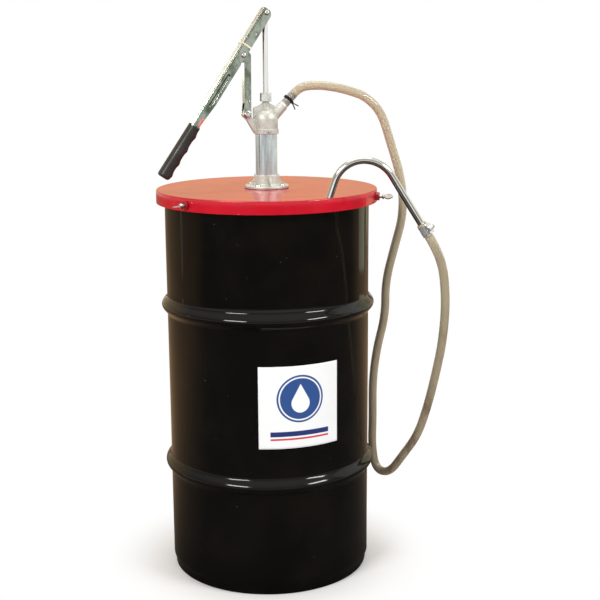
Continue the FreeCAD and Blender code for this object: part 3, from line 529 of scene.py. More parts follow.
DRUM_BLACK = Enamel("drum_enamel", (0.0026, 0.0022, 0.0018), (0.0052, 0.0042, 0.0032), 0.30,
                    (0.06, 0.12), 0.04)
COVER_RED = Enamel("cover_enamel", (0.54, 0.006, 0.020), (0.45, 0.004, 0.015), 0.5, (0.10, 0.19), 0.06,
                   (0.5, 0.35, 0.28))
NUT_RED = Enamel("weld_nut_enamel", (0.36, 0.006, 0.012), (0.24, 0.004, 0.008), 0.5, (0.2, 0.35), 0.15)
LEVER_ZINC = Metal("lever_zinc", (0.42, 0.45, 0.39), (0.13, 0.16, 0.11), (0.15, 0.26), 58.0,
                   (1.0, 1.0, 0.6), stained=0.30, stain=(0.06, 0.075, 0.045), grain=0.0)
PADDLE_ZINC = Metal("paddle_zinc", (0.74, 0.72, 0.68), (0.52, 0.50, 0.45), (0.22, 0.40), 90.0)
SCREW_ZINC = Metal("screw_zinc", (0.78, 0.77, 0.74), (0.55, 0.53, 0.48), (0.12, 0.28), 120.0)
CAST_ALLOY = Metal("cast_alloy", (0.74, 0.74, 0.68), (0.50, 0.50, 0.43), (0.46, 0.62), 60.0,
                   grain=0.5, grain_scale=380.0, stained=0.30, stain=(0.20, 0.17, 0.12), metallic=0.65)
BARREL_ZINC = Metal("barrel_galvanising", (0.86, 0.91, 0.92), (0.44, 0.50, 0.49), (0.16, 0.32), 70.0,
                    (1.0, 1.0, 0.12), spangle=0.35, stained=0.25)
ROD_CHROME = Metal("rod_chrome", (0.86, 0.86, 0.85), (0.72, 0.72, 0.70), (0.05, 0.11), 60.0,
                   (1.0, 1.0, 0.2), grain=0.03, stained=0.15)
SPOUT_CHROME = Metal("spout_chrome", (0.92, 0.91, 0.87), (0.80, 0.78, 0.70), (0.07, 0.15), 40.0,
                     grain=0.04, stained=0.18)
GLAND_STEEL = Metal("gland_chrome", (0.82, 0.81, 0.78), (0.60, 0.58, 0.54), (0.08, 0.2), 110.0)
CLAMP_STEEL = Metal("clamp_steel", (0.92, 0.92, 0.90), (0.62, 0.60, 0.55), (0.20, 0.38), 120.0,
                    stained=0.45, metallic=0.8)
SPRING_BLACK = Metal("spring_oxide", (0.022, 0.021, 0.020), (0.010, 0.009, 0.008), (0.25, 0.42), 150.0,
                     metallic=0.6, stained=0.1)
VALVE_BRASS = Metal("valve_brass", (0.72, 0.52, 0.22), (0.50, 0.34, 0.14), (0.18, 0.32), 80.0)
BALL_STEEL = Metal("ball_steel", (0.72, 0.72, 0.72), (0.60, 0.60, 0.60), (0.06, 0.14), 90.0)
GRIP_RUBBER = Rubber("grip_rubber", (0.018, 0.017, 0.014), (0.030, 0.028, 0.024), (0.34, 0.46))
SEAL_RUBBER = Rubber("seal_rubber", (0.016, 0.016, 0.016), (0.026, 0.025, 0.024), (0.5, 0.7))
TAG_PRINT = Enamel("tag_print", (0.50, 0.02, 0.035), (0.60, 0.16, 0.12), 0.4, (0.25, 0.4))
TIE_NYLON = Rubber("tie_nylon", (0.78, 0.72, 0.52), (0.70, 0.55, 0.28), (0.35, 0.5), 0.08, 300.0, 0.2)
STRAINER_PLASTIC = Rubber("strainer_plastic", (0.05, 0.05, 0.052), (0.07, 0.07, 0.07), (0.3, 0.5))
HOSE_VINYL = ClearVinyl("hose_vinyl")
CUFF_VINYL = ClearVinyl("hose_end_vinyl", (0.985, 0.98, 0.965), milky=0.03, soiled=(0.6, 0.1))
LABEL_PRINT = PrintedVinyl("label_print")


# ---------------------------------------------------------------- sub-assemblies
@dataclass
class Drum:
    """The open-head drum: body with two rolled hoops, base chime, curled rim and side seam."""

    radius: float = 179.0 * MM
    wall: float = 1.2 * MM
    chime_radius: float = 175.4 * MM
    chime_height: float = 14.0 * MM
    chime_ring: float = 3.0 * MM
    hoops: tuple[float, float] = (196.0 * MM, 484.0 * MM)
    hoop_bulge: float = 9.8 * MM
    hoop_half: float = 17.0 * MM
    curl_centre: float = 183.1 * MM
    curl_height: float = 676.0 * MM
    curl_radius: float = 4.8 * MM
    seam_angle: float = 84.0
    seam_rise: float = 0.45 * MM
    seam_half: float = 4.0 * MM
    segments: int = 288

    def side(self, height: np.ndarray) -> np.ndarray:
        """The body's outer radius: R, plus a half-cosine bulge at each hoop."""
        radius = np.full_like(height, self.radius)
        for hoop in self.hoops:
            share = np.clip(np.abs(height - hoop) / self.hoop_half, 0.0, 1.0)
            bell = 0.5 + 0.5 * np.cos(np.pi * share)
            radius += self.hoop_bulge * bell ** 0.85
        return radius

    def heights(self) -> np.ndarray:
        """Heights up the side: close together over the hoops, far apart between them."""
        spans = [np.array([self.chime_height + 4 * MM])]
        for hoop in self.hoops:
            spans.append(np.linspace(hoop - self.hoop_half, hoop + self.hoop_half, 31))
        plain = np.linspace(self.chime_height + 12 * MM, self.curl_height - 6 * MM, 26)
        clear = np.all([np.abs(plain - hoop) > self.hoop_half + 3 * MM for hoop in self.hoops], axis=0)
        return np.sort(np.concatenate([*spans, plain[clear]]))

    def give(self, angle: np.ndarray, height: np.ndarray) -> np.ndarray:
        """How far rolled sheet strays from a true cylinder: two slow waves, none at its ends."""
        middle = smooth_step(height, 30 * MM, 90 * MM) * (1.0 - smooth_step(height, 600 * MM, 660 * MM))
        wave = np.sin(5 * angle + 9.0 * height) + 0.7 * np.sin(3 * angle - 14.0 * height + 1.0)
        seam = np.abs(np.angle(np.exp(1j * (angle - math.radians(self.seam_angle))))) * self.radius
        lap = 1.0 - smooth_step(seam, self.seam_half - 1.2 * MM, self.seam_half)
        ends = smooth_step(height, 20 * MM, 26 * MM) * (1.0 - smooth_step(height, 655 * MM, 664 * MM))
        return 0.11 * MM * middle * wave + self.seam_rise * lap * ends

    def outline(self) -> np.ndarray:
        """The wall's closed section: up the outside, round the curl, down the inside, and the base."""
        up = self.heights()
        outside = np.stack([self.side(up), up], axis=1)
        inside = np.stack([self.side(up) - self.wall, up], axis=1)[::-1]
        ring_inner = self.chime_radius - self.chime_ring
        foot = np.array([
            (0.0, self.chime_height), (ring_inner - 2 * MM, self.chime_height),
            (ring_inner, self.chime_height - 1.5 * MM), (ring_inner, 1.2 * MM)])
        bead = arc((ring_inner + self.chime_ring / 2, self.chime_ring / 2), self.chime_ring / 2, 180, 360, 12)
        step = np.array([
            (self.chime_radius, self.chime_height - 2.5 * MM),
            (self.chime_radius + 0.6 * MM, self.chime_height),
            (self.chime_radius + 2.0 * MM, self.chime_height + 2.0 * MM)])
        curl = arc((self.curl_centre, self.curl_height), self.curl_radius, -40, 180, 24)
        floor = self.chime_height + self.wall
        inner_floor = np.array([
            (self.radius - self.wall, floor + 5 * MM), (self.radius - 2.2 * MM, floor + 1.5 * MM),
            (self.radius - 5 * MM, floor), (0.0, floor)])
        rise = np.array([(self.radius, self.curl_height - 4.5 * MM)])
        drop = np.array([(self.radius - self.wall, self.curl_height - 3 * MM)])
        return np.concatenate([foot, bead, step, outside, rise, curl, drop, inside, inner_floor])

    def build(self) -> None:
        """Turn the section, let the sheet stray, and paint it."""
        points, faces = turned(self.outline(), self.segments)
        radius = np.hypot(points[:, 0], points[:, 1])
        angle = np.arctan2(points[:, 1], points[:, 0])
        wall = smooth_step(radius, self.chime_radius, self.radius - 2 * MM)
        grown = 1.0 + self.give(angle, points[:, 2]) * wall / np.maximum(radius, MM)
        points[:, :2] *= grown[:, None]
        mesh_piece("drum_body", points, faces, Fitting("drum", ("drum_shell",), "drum_paint"),
                   DRUM_BLACK.material(), 50.0)


@dataclass
class Sticker:
    """The square sticker, wrapped round the drum's front."""

    drum: Drum
    middle: float = -88.9
    width: float = 46.0
    bottom: float = 265.5 * MM
    height: float = 143.0 * MM
    thick: float = 0.30 * MM
    bubble: tuple[float, float] = (0.83, 0.2)
    bubble_rise: float = 0.12 * MM
    bubble_spread: float = 0.004
    columns: int = 72
    rows: int = 40

    def build(self) -> None:
        """A grid in angle and height, just off the drum's own stray surface, with a thickness."""
        across, up = np.meshgrid(np.linspace(0, 1, self.columns), np.linspace(0, 1, self.rows))
        angle = np.radians(self.middle + self.width * (across - 0.5))
        height = self.bottom + self.height * up
        radius = self.drum.radius + self.drum.give(angle, height) + self.thick
        away = (across - self.bubble[0]) ** 2 + (up - self.bubble[1]) ** 2
        radius += self.bubble_rise * np.exp(-away / self.bubble_spread)
        points = np.stack([radius * np.cos(angle), radius * np.sin(angle), height], axis=-1)
        piece = mesh_piece("drum_sticker", points, quads(self.rows, self.columns),
                           Fitting("drum", ("drum_label",), "label_vinyl"), LABEL_PRINT.material(),
                           merge=False)
        flat = np.stack([across, up], axis=-1).reshape(-1, 2)
        corners = np.zeros(len(piece.data.loops), np.int32)
        piece.data.loops.foreach_get("vertex_index", corners)
        layer = piece.data.uv_layers.new(name="print")
        layer.data.foreach_set("uv", flat[corners].astype(np.float32).ravel())
        body = piece.modifiers.new("sheet", "SOLIDIFY")
        body.thickness, body.offset = self.thick, -1.0


@dataclass
class Cover:
    """The pressed cover: a nearly flat top, a rounded edge, a skirt and its hemmed lip."""

    radius: float = 193.4 * MM
    top: float = 686.4 * MM
    sheet: float = 1.2 * MM
    edge: float = 2.2 * MM
    bottom: float = 664.0 * MM
    hole: float = 19.6 * MM
    sag: float = 0.35 * MM
    segments: int = 288

    def build(self) -> None:
        """Turn the section, with a slow wave in the top that stays below its true height."""
        inner = self.radius - self.sheet
        under = self.top - self.sheet
        spread = np.linspace(self.hole, self.radius - self.edge, 34)
        flat = np.stack([spread, np.full_like(spread, self.top)], axis=1)
        bend = arc((self.radius - self.edge, self.top - self.edge), self.edge, 88, 0, 12)
        hem = arc((self.radius - self.sheet / 2, self.bottom + self.sheet / 2), self.sheet / 2, 0, -180, 9)
        back = np.array([(inner, under - 1 * MM), (inner - 1 * MM, under)])
        below = np.stack([spread[::-1] - 1.2 * MM, np.full_like(spread, under)], axis=1)
        below[-1, 0] = self.hole
        points, faces = turned(np.concatenate([flat, bend, hem, back, below]), self.segments)
        radius = np.hypot(points[:, 0], points[:, 1])
        angle = np.arctan2(points[:, 1], points[:, 0])
        share = smooth_step(radius, 45 * MM, 90 * MM) * (1 - smooth_step(radius, 165 * MM, 189 * MM))
        wave = 0.5 + 0.25 * np.sin(2 * angle + 22 * radius) + 0.25 * np.sin(3 * angle - 31 * radius)
        points[:, 2] -= self.sag * share * wave * (points[:, 2] > under - 0.5 * MM)
        mesh_piece("cover_pressing", points, faces, Fitting("cover", ("cover_lid",), "cover_paint"),
                   COVER_RED.material(), 50.0)


@dataclass
class Hose:
    """The clear hose that hangs from the pump's outlet, loops low and comes up to the spout."""

    outer: float = 7.6 * MM
    inner: float = 5.5 * MM
    length: float = 1.43
    sides: int = 32
    # The centre line, point by point, in millimetres.
    route: tuple[tuple[float, float, float], ...] = (
        (50.5, 0.0, 847.5), (59.6, 0.0, 856.8), (77.0, -5.0, 862.0), (108.0, -11.0, 861.0),
        (145.0, -17.0, 853.0), (178.0, -21.0, 841.0), (205.0, -25.0, 813.0),
        (221.0, -25.0, 765.0), (246.0, -23.0, 692.0), (252.0, -18.0, 630.0),
        (239.0, -7.0, 567.0), (226.0, 2.0, 503.0), (228.0, 6.0, 438.0), (214.0, 12.0, 376.0),
        (207.0, 15.0, 311.0), (208.0, 15.0, 240.0), (206.0, 14.0, 185.0), (210.0, 3.0, 140.0),
        (228.0, -22.0, 139.0), (246.0, -44.0, 180.0), (264.0, -69.0, 224.0),
        (271.0, -96.0, 286.0), (273.0, -124.0, 352.0), (273.0, -151.0, 418.0),
        (268.0, -173.0, 484.0), (257.0, -191.0, 538.0), (244.0, -206.0, 572.0),
        (222.8, -224.1, 604.8), (212.7, -221.2, 621.8),
    )

    def line(self) -> np.ndarray:
        """Points read from the smooth spline whose control points are the route."""
        curve = bpy.data.curves.new("hose_line", "CURVE")
        curve.dimensions = "3D"
        curve.resolution_u = 14
        spline = curve.splines.new("NURBS")
        spline.points.add(len(self.route) - 1)
        for point, corner in zip(spline.points, self.route):
            point.co = (*(value * MM for value in corner), 1.0)
        spline.order_u = 3
        spline.use_endpoint_u = True
        holder = linked("hose_line", curve)
        bpy.context.view_layer.update()
        read = bpy.data.meshes.new_from_object(holder.evaluated_get(bpy.context.evaluated_depsgraph_get()))
        points = np.zeros(len(read.vertices) * 3, np.float32)
        read.vertices.foreach_get("co", points)
        bpy.data.meshes.remove(read)
        bpy.data.objects.remove(holder)
        bpy.data.curves.remove(curve)
        return points.reshape(-1, 3).astype(float)

    def build(self, with_pieces: Sequence[Any]) -> None:
        path = self.line()
        round_angle = np.linspace(0, 2 * np.pi, self.sides, endpoint=False)
        circle = np.stack([np.cos(round_angle), np.sin(round_angle)], axis=1)
        walls = [carried(path, circle * radius, (0.85, 0.5, 0.0)) for radius in (self.outer, self.inner)]
        rings = np.concatenate([walls[0], walls[1][::-1]])
        faces = quads(len(rings), self.sides, True, True)
        hose = mesh_piece("clear_hose", rings, faces, Fitting("cover", ("transfer_hose",), "hose_pvc"),
                          HOSE_VINYL.material(), 60.0)


@dataclass
class Lever:
    """The lever: a folded channel with pressed grooves and drilled holes, and its rubber grip.

    Its own frame starts at the link's top pin, with t down the lever toward the grip and n
    toward the channel's web.
    """

    origin: tuple[float, float, float] = (-41.6 * MM, 0.0, 913.7 * MM)
    tilt: float = 56.0
    start: float = -88.0 * MM
    end: float = 147.0 * MM
    rise: float = 12.9 * MM
    drop: float = -4.4 * MM
    tail_drop: float = -0.8 * MM
    nose: float = 11.0 * MM
    nose_rise: float = 9.0 * MM
    taper: tuple[float, float] = (96.0 * MM, 42.0 * MM)
    half: float = 13.0 * MM
    sheet: float = 1.8 * MM
    bend: float = 3.4 * MM
    groove: tuple[float, float, float, float] = (41.0 * MM, 104.0 * MM, 0.2 * MM, 5.2 * MM)
    groove_depth: float = 0.9 * MM
    holes: tuple[tuple[float, float, float], ...] = (
        (-81.5 * MM, 4.8 * MM, 2.5 * MM), (0.0, 0.0, 2.5 * MM),
        (-42.0 * MM, 2.6 * MM, 3.1 * MM), (23.0 * MM, 1.6 * MM, 1.6 * MM))
    sticker: tuple[float, float, float, float] = (127.0 * MM, 143.5 * MM, -2.6 * MM, 3.4 * MM)
    grip_start: float = 143.8 * MM
    grip_end: float = 248.0 * MM
    grip_centre: float = 4.6 * MM
    grip_half: float = 13.6 * MM
    grip_depth: float = 11.0 * MM
    ridges: tuple[float, ...] = (0.17, 0.43, 0.68, 0.905)
    ridge_rise: float = 2.1 * MM
    ridge_width: float = 0.052
    cap_start: float = 0.955
    squareness: float = 2.5

    def placed(self, along: np.ndarray, across: np.ndarray, rise: np.ndarray) -> np.ndarray:
        """Points of the lever's frame in the model's frame."""
        tilt = math.radians(self.tilt)
        down = np.array([-math.cos(tilt), 0.0, -math.sin(tilt)])
        web = np.array([-math.sin(tilt), 0.0, math.cos(tilt)])
        side = np.array([0.0, 1.0, 0.0])
        return (np.asarray(self.origin) + along[..., None] * down + across[..., None] * side
                + rise[..., None] * web)

    def edge(self, along: np.ndarray) -> np.ndarray:
        """Where the flanges end: rounded up at the top, tapered near the grip."""
        top = np.clip((self.start + self.nose - along) / self.nose, 0.0, 1.0)
        rounded = self.drop + self.nose_rise * (1.0 - np.sqrt(1.0 - 0.96 * top * top))
        tail = np.clip((along - self.taper[0]) / self.taper[1], 0.0, 1.0)
        return np.where(top > 0, rounded, self.drop + (self.tail_drop - self.drop) * tail)

    def pressed(self, along: np.ndarray, rise: np.ndarray) -> np.ndarray:
        """Depth of the groove pressed into each flange: a soft-edged slot with round ends."""
        first, last, low, high = self.groove
        radius = (high - low) / 2
        past = along - np.clip(along, first + radius, last - radius)
        away = np.hypot(past, rise - (low + high) / 2)
        return self.groove_depth * (1.0 - smooth_step(away, radius - 1.0 * MM, radius + 0.6 * MM))

    def channel(self) -> None:
        """The folded sheet: a section of flange, bend, web, bend, flange at each step along."""
        along = np.linspace(self.start, self.end, 200)
        edge = self.edge(along)[:, None]
        knee = self.rise - self.bend
        share = np.linspace(0.0, 1.0, 22)[None, :]
        flange_rise = edge + (knee - edge) * share
        turn = np.radians(np.linspace(0, 90, 9))[1:-1]
        bend_across = self.half - self.bend + self.bend * np.cos(turn)
        bend_rise = knee + self.bend * np.sin(turn)
        web = np.linspace(self.half - self.bend, -(self.half - self.bend), 13)
        steps = (len(along), 1)
        across = np.concatenate([
            np.full_like(flange_rise, self.half), np.tile(bend_across, steps), np.tile(web, steps),
            np.tile(-bend_across[::-1], steps), np.full_like(flange_rise, -self.half)], axis=1)
        rise = np.concatenate([
            flange_rise, np.tile(bend_rise, steps), np.full((len(along), len(web)), self.rise),
            np.tile(bend_rise[::-1], steps), flange_rise[:, ::-1]], axis=1)
        spot = np.broadcast_to(along[:, None], rise.shape)
        flank = np.abs(across) > self.half - 0.01 * MM
        across = across - np.sign(across) * flank * self.pressed(spot, rise)
        piece = mesh_piece("lever_channel", self.placed(spot, across, rise), quads(*rise.shape),
                           Fitting("lever", ("lever_arm",), "lever_zinc"), LEVER_ZINC.material(), 35.0)
        self.face_outward(piece)
        body = piece.modifiers.new("sheet", "SOLIDIFY")
        body.thickness, body.offset, body.use_even_offset = self.sheet, -1.0, True
        self.drill(piece)
        crisp = piece.modifiers.new("broken_edges", "BEVEL")
        crisp.width, crisp.segments, crisp.limit_method = 0.35 * MM, 2, "ANGLE"
        crisp.angle_limit = math.radians(50.0)

    def face_outward(self, piece: bpy.types.Object) -> None:
        """Turn an open sheet's faces so that the web's point away from the pins."""
        tilt = math.radians(self.tilt)
        web = Vector((-math.sin(tilt), 0.0, math.cos(tilt)))
        middle = max(piece.data.polygons, key=lambda face: face.center.dot(web))
        if middle.normal.dot(web) < 0:
            piece.data.flip_normals()

    def drill(self, piece: bpy.types.Object) -> None:
        """Cut the pin holes through both flanges, and leave the result as the piece's mesh."""
        bars = []
        for number, (along, rise, radius) in enumerate(self.holes):
            angle = np.linspace(0, 2 * np.pi, 40, endpoint=False)
            across = np.array([-20.0, 20.0]) * MM
            ring = self.placed(
                np.tile(along + radius * np.cos(angle), (2, 1)),
                np.repeat(across[:, None], len(angle), axis=1),
                np.tile(rise + radius * np.sin(angle), (2, 1)))
            mesh = bpy.data.meshes.new(f"drill_{number}")
            count = len(angle)
            ends = [list(range(count)), list(range(count, 2 * count))[::-1]]
            mesh.from_pydata(ring.reshape(-1, 3).tolist(), [], quads(2, count, False, True).tolist() + ends)
            cleaned(mesh, mesh)
            bar = linked(f"drill_{number}", mesh)
            cutter = piece.modifiers.new(f"hole_{number}", "BOOLEAN")
            cutter.operation, cutter.solver, cutter.object = "DIFFERENCE", "EXACT", bar
            bars.append(bar)
        bpy.context.view_layer.update()
        drilled = bpy.data.meshes.new_from_object(
            piece.evaluated_get(bpy.context.evaluated_depsgraph_get()))
        piece.modifiers.clear()
        piece.data = drilled
        for bar in bars:
            bpy.data.objects.remove(bar)

    def grip(self) -> None:
        """A rounded bar with a straight back and four finger ridges underneath.

        At share s along it and angle a round it, the section is (w cos a, c + d sin a) with its
        corners filled out; underneath, d grows by a narrow bell at each ridge. Both ends close.
        """
        start, length, power = self.cap_start, 1.0 - self.cap_start, self.squareness
        round_end = np.sin(np.linspace(0, np.pi / 2, 14))[1:]
        share = np.concatenate([np.linspace(0, start, 90), start + length * round_end])
        angle = np.linspace(0, 2 * np.pi, 64, endpoint=False)
        cosine, sine = np.cos(angle)[None, :], np.sin(angle)[None, :]
        fill = (np.abs(cosine) ** power + np.abs(sine) ** power) ** (-1 / power)
        s = share[:, None]
        bells = sum(np.exp(-((s - ridge) / self.ridge_width) ** 2) for ridge in self.ridges)
        under = np.clip(-sine, 0.0, 1.0) ** 1.3
        width = self.grip_half * (0.965 + 0.035 * s)
        depth = self.grip_depth * (0.94 + 0.07 * s) + self.ridge_rise * (bells - 0.42) * under
        cap = np.sqrt(np.clip(1.0 - (np.clip(s - start, 0.0, 1.0) / length) ** 2, 0.0, 1.0))
        size = 0.62 + 0.38 * cap
        lip = 1.0 - 0.05 * (1.0 - smooth_step(s, 0.0, 0.014))
        across = width * fill * cosine * size * lip
        rise = self.grip_centre + depth * fill * sine * size * lip
        along = np.broadcast_to(self.grip_start + (self.grip_end - self.grip_start) * s, across.shape)
        rows = self.placed(along, across, rise)
        poles = [rows[:1].mean(axis=1, keepdims=True), rows[-1:].mean(axis=1, keepdims=True)]
        closed = np.concatenate([np.broadcast_to(poles[0], rows[:1].shape), rows,
                                 np.broadcast_to(poles[1], rows[:1].shape)])
        mesh_piece("lever_grip_moulding", closed, quads(len(closed), len(angle), False, True),
                   Fitting("lever", ("lever_grip",), "grip_rubber"), GRIP_RUBBER.material(), 50.0)

    def tag(self) -> None:
        """A small plain sticker on the near flange, where the flange runs into the grip."""
        first, last, low, high = self.sticker
        along, rise = np.meshgrid(np.linspace(first, last, 9), np.linspace(low, high, 5), indexing="ij")
        rise = np.maximum(rise, self.edge(along) + 0.2 * MM)
        across = np.full_like(along, -self.half - 0.05 * MM)
        piece = mesh_piece("lever_tag", self.placed(along, across, rise), quads(*along.shape),
                           Fitting("lever", (), "label_vinyl"), TAG_PRINT.material(), 35.0)
        paper = piece.modifiers.new("paper", "SOLIDIFY")
        paper.thickness, paper.offset = 0.12 * MM, 0.0

    def build(self) -> None:
        """Make the channel, its sticker and the grip."""
        self.channel()
        self.tag()
        self.grip()


class Edges(Enum):
    """How far the sharp edges of a made part are broken."""

    PLATE = 0.35 * MM
    NUT = 0.45 * MM
    FINE = 0.2 * MM


@dataclass(frozen=True)
class Edged:
    """A cut or folded CAD piece that shows with its edges broken."""

    node: str
    finish: Finish
    slot: str
    edges: Edges
    body: str = "cover"


@dataclass
class Hardware:
    """The turned, cast, bent and drawn pieces whose CAD shapes are already true."""

    plain: tuple[tuple[Finish, tuple[str, ...]], ...] = (
        (SEAL_RUBBER, ("cover_gasket", "flange_gasket", "packing_rings", "piston_cup")),
        (CAST_ALLOY, ("pump_flange", "pump_head")),
        (SCREW_ZINC, ("flange_screws", "flange_nuts", "head_set_screw", "outlet_barb", "piston_nut",
                      "valve_stop", "foot_valve_stop", "rod_pin", "link_top_pin", "link_foot_bolt",
                      "link_foot_nut")),
        (BARREL_ZINC, ("barrel", "suction_tube")),
        (VALVE_BRASS, ("piston_body", "piston_valve", "foot_valve_body")),
        (PADDLE_ZINC, ("thumb_screw_1", "thumb_screw_2", "thumb_screw_3")),
        (CUFF_VINYL, ("hose_cuff_outlet",)), (HOSE_VINYL, ("hose_cuff_spout",)),
        (SPRING_BLACK, ("hose_clip",)), (SPOUT_CHROME, ("discharge_spout",)),
        (ROD_CHROME, ("piston_rod",)), (BALL_STEEL, ("foot_valve_ball",)),
        (STRAINER_PLASTIC, ("suction_strainer",)), (TIE_NYLON, ("lever_tie",)),
    )
    edged: tuple[Edged, ...] = (
        Edged("weld_nuts", NUT_RED, "nut_plate", Edges.NUT),
        Edged("gland_nut", GLAND_STEEL, "rod_chrome", Edges.NUT),
        Edged("hose_clamp", CLAMP_STEEL, "clamp_steel", Edges.FINE),
        Edged("hose_clamp_screw", CLAMP_STEEL, "clamp_steel", Edges.FINE),
        Edged("link_bar", LEVER_ZINC, "lever_zinc", Edges.PLATE, "link"),
    )

    def build(self) -> None:
        """Dress each node, and break the edges of those that are cut or folded."""
        for finish, nodes in self.plain:
            for node in nodes:
                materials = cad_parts[node].data.materials
                materials.clear()
                materials.append(finish.material())
                LOG.info("%s: %s", node, finish.name)
        for part in self.edged:
            softened(part.node, Fitting(part.body, (part.node,), part.slot), part.finish.material(),
                     part.edges.value)


# ---------------------------------------------------------------- studio
@dataclass(frozen=True)
class Softbox:
    """A flat lamp, so wide and so high, that points at a target."""

    name: str
    place: tuple[float, float, float]
    size: tuple[float, float]
    power: float
    colour: Colour = (1.0, 1.0, 1.0)
    target: tuple[float, float, float] = (0.0, 0.0, 0.45)
    only: tuple[str, ...] = ()

    def aim(self) -> None:
        """Let the lamp light only the pieces that it names, once they are made."""
        if self.only:
            lit = bpy.data.collections.new(self.name + "_receivers")
            for name in self.only:
                lit.objects.link(bpy.data.objects[name])
            bpy.data.objects[self.name].light_linking.receiver_collection = lit

    def build(self) -> None:
        """Hang the lamp."""
        lamp = bpy.data.lights.new(self.name, "AREA")
        lamp.shape, lamp.energy, lamp.color = "RECTANGLE", self.power, self.colour
        lamp.size, lamp.size_y = self.size
        holder = linked(self.name, lamp)
        holder.location = self.place
        aim = Vector(self.target) - Vector(self.place)
        holder.rotation_euler = aim.to_track_quat("-Z", "Y").to_euler()
        holder.visible_camera = False


@dataclass(frozen=True)
class Strip:
    """A glowing upright strip beside the stage, seen only where polished pieces mirror it."""

    name: str
    bearing: float
    width: float
    colour: Colour
    power: float
    away: float = 3.0
    height: float = 3.2
    bottom: float = 0.0

    def build(self) -> None:
        """Stand the strip at its bearing, facing the drum."""
        angle = math.radians(self.bearing)
        centre = Vector((math.cos(angle), math.sin(angle), 0.0)) * self.away
        centre.z = self.bottom
        side = Vector((-math.sin(angle), math.cos(angle), 0.0)) * (self.width / 2)
        up = Vector((0.0, 0.0, self.height))
        mesh = bpy.data.meshes.new(self.name)
        mesh.from_pydata([centre - side, centre + side, centre + side + up, centre - side + up], [],
                         [(0, 1, 2, 3)])
        material = bpy.data.materials.new(self.name)
        graph = Graph(material)
        graph.finish(graph.node("ShaderNodeEmission", None, {
            "Color": (*self.colour, 1.0), "Strength": self.power}))
        mesh.materials.append(material)
        strip = linked(self.name, mesh)
        strip.visible_camera = strip.visible_diffuse = strip.visible_shadow = False
        strip.visible_transmission = False


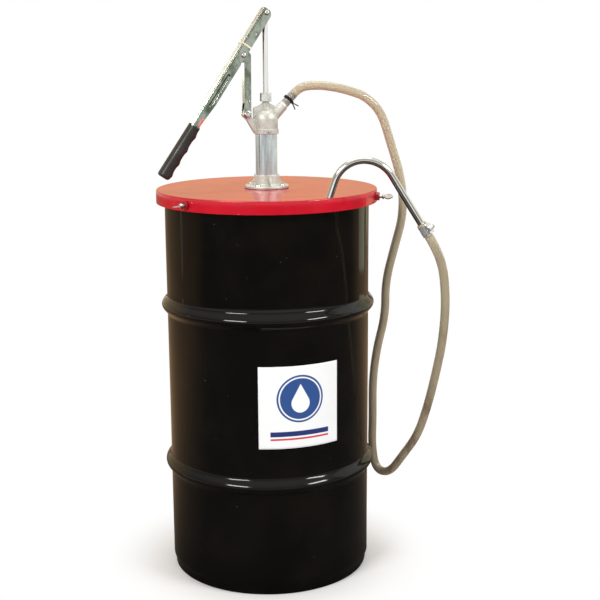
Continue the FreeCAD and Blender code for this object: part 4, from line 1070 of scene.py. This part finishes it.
@dataclass
class Studio:
    """A white sweep, a pale horizon, a warm glow behind, soft lamps in front, and the camera."""

    lamps: tuple[Softbox, ...] = (
        Softbox("left_softbox", (-2.0, -1.45, 2.1), (1.1, 0.36), 42.0),
        Softbox("right_softbox", (1.75, -1.9, 2.3), (1.1, 0.40), 42.0),
        Softbox("top_softbox", (0.1, 0.5, 2.9), (1.8, 1.8), 26.0),
        Softbox("back_card", (-1.35, 3.0, 1.55), (1.5, 1.5), 52.0, target=(-0.1, 0.0, 0.9),
                only=("lever_channel", "link_bar_finished")),
    )
    strips: tuple[Strip, ...] = (
        Strip("right_strip", 24.0, 0.85, (0.86, 0.84, 0.58), 0.9),
        Strip("far_right_strip", 44.0, 0.40, (0.80, 0.74, 0.48), 0.8),
        Strip("left_strip", 146.0, 0.16, (0.62, 0.62, 0.50), 0.8),
        Strip("right_wall", 2.0, 2.6, (1.0, 1.0, 1.0), 1.0, 3.2, 2.6, 0.85),
    )
    glow: Colour = (0.75, 0.57, 0.33)
    room: Colour = (0.34, 0.33, 0.30)
    horizon: Colour = (0.98, 1.0, 1.0)
    ceiling: Colour = (0.80, 0.80, 0.80)
    glow_span: tuple[float, float] = (0.30, 0.80)
    horizon_span: tuple[float, float] = (0.05, 0.16)
    ceiling_span: tuple[float, float] = (0.35, 0.95)
    through: float = 0.4
    floor_colour: Colour = (0.86, 0.85, 0.84)
    floor_dark: Colour = (0.030, 0.028, 0.028)
    floor_warm: Colour = (0.34, 0.21, 0.11)
    floor_half: float = 12.0
    white_span: tuple[float, float] = (0.18, 0.31)
    wide_span: tuple[float, float] = (2.3, 3.3)
    warm_span: tuple[float, float] = (-0.2, 0.9)
    mirror_shift: float = 3.3
    lens: float = 71.57
    place: tuple[float, float, float] = (-0.5761, -2.0089, 0.9281)
    heading: float = 17.57
    pitch: float = 12.0
    roll: float = -0.338

    def camera(self) -> None:
        """Stand the camera at its place, looking along its heading and pitched down."""
        heading, pitch, roll = (math.radians(a) for a in (self.heading, self.pitch, self.roll))
        forward = Vector((math.sin(heading) * math.cos(pitch), math.cos(heading) * math.cos(pitch),
                          -math.sin(pitch)))
        level = Vector((math.cos(heading), -math.sin(heading), 0.0))
        upright = level.cross(forward)
        right = level * math.cos(roll) + upright * math.sin(roll)
        up = right.cross(forward)
        data = bpy.data.cameras.new("camera")
        data.lens, data.sensor_width = self.lens, 36.0
        data.clip_start, data.clip_end = 0.05, 60.0
        holder = linked("camera", data)
        turn = Matrix((right, up, -forward)).transposed().to_4x4()
        holder.matrix_world = Matrix.Translation(self.place) @ turn
        bpy.context.scene.camera = holder

    def clear_view(self, graph: Graph) -> Sock:
        """One where the camera looks straight at it, and a share where it looks through vinyl."""
        through = graph.node("ShaderNodeLightPath", output="Is Transmission Ray")
        return graph.node("ShaderNodeLightPath", output="Is Camera Ray").highest(through * self.through)

    def world(self) -> None:
        """White where the camera looks; for light and reflections a warm glow behind a dim room."""
        world = bpy.data.worlds.new("studio")
        bpy.context.scene.world = world
        graph = Graph(world)
        way = graph.node("ShaderNodeTexCoord", output="Generated")
        back = graph.axis(way, "Y").step(*self.glow_span)
        rise = graph.axis(way, "Z")
        level = 1.0 - abs(rise).step(*self.horizon_span)
        lit = graph.mix(level, self.room, self.horizon)
        lit = graph.mix(back, lit, self.glow)
        lit = graph.mix(rise.step(*self.ceiling_span), lit, self.ceiling)
        colour = graph.mix(self.clear_view(graph), lit, (1.0, 1.0, 1.0))
        graph.finish(graph.node("ShaderNodeBackground", None, {"Color": colour}), "ShaderNodeOutputWorld")

    def floor(self) -> None:
        """A pale floor that turns to pure white away from the drum, where the camera sees it."""
        half = self.floor_half
        mesh = bpy.data.meshes.new("floor")
        corners = [(-half, -half, 0), (half, -half, 0), (half, half, 0), (-half, half, 0)]
        mesh.from_pydata(corners, [], [(0, 1, 2, 3)])
        material = bpy.data.materials.new("floor_paper")
        graph = Graph(material)
        spot = graph.node("ShaderNodeTexCoord", output="Object")
        reach = graph.node("ShaderNodeVectorMath", {"operation": "LENGTH"}, {0: spot}, "Value")
        seen = self.clear_view(graph)
        mirrored = graph.node("ShaderNodeLightPath", output="Is Glossy Ray")
        behind = graph.axis(spot, "Y").step(*self.warm_span)
        dark = graph.mix(behind, self.floor_dark, self.floor_warm)
        paper = graph.principled(Base_Color=graph.mix(mirrored, self.floor_colour, dark), Roughness=0.8)
        white = graph.node("ShaderNodeEmission", None, {"Color": (1.0, 1.0, 1.0, 1.0), "Strength": 1.0})
        wide = (reach - mirrored * self.mirror_shift).step(*self.wide_span)
        far = (seen * reach.step(*self.white_span)).highest(wide * 0.9)
        graph.finish(graph.node("ShaderNodeMixShader", None, {0: far, 1: paper, 2: white}))
        mesh.materials.append(material)
        linked("floor", mesh)

    def build(self) -> None:
        """Set the whole stage."""
        for light in (*self.lamps, *self.strips):
            light.build()
        self.world()
        self.floor()
        self.camera()
        scene = bpy.context.scene
        scene.view_settings.view_transform = "Standard"
        scene.view_settings.look = "None"


def main() -> None:
    """Build the studio and then each sub-assembly, and aim the lamps that light only some pieces."""
    logging.basicConfig(level=logging.INFO, format="%(name)s: %(message)s")
    studio = Studio()
    studio.build()
    hardware = Hardware()
    hardware.build()
    drum = Drum()
    on_hose = [bpy.data.objects["hose_clamp_finished"], bpy.data.objects["hose_clamp_screw_finished"],
               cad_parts["hose_cuff_outlet"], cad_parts["hose_cuff_spout"],
               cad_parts["discharge_spout"]]
    Hose().build(on_hose)
    for assembly in (drum, Sticker(drum), Cover(), Lever()):
        assembly.build()
    for lamp in studio.lamps:
        lamp.aim()


if __name__ == "__main__":
    main()
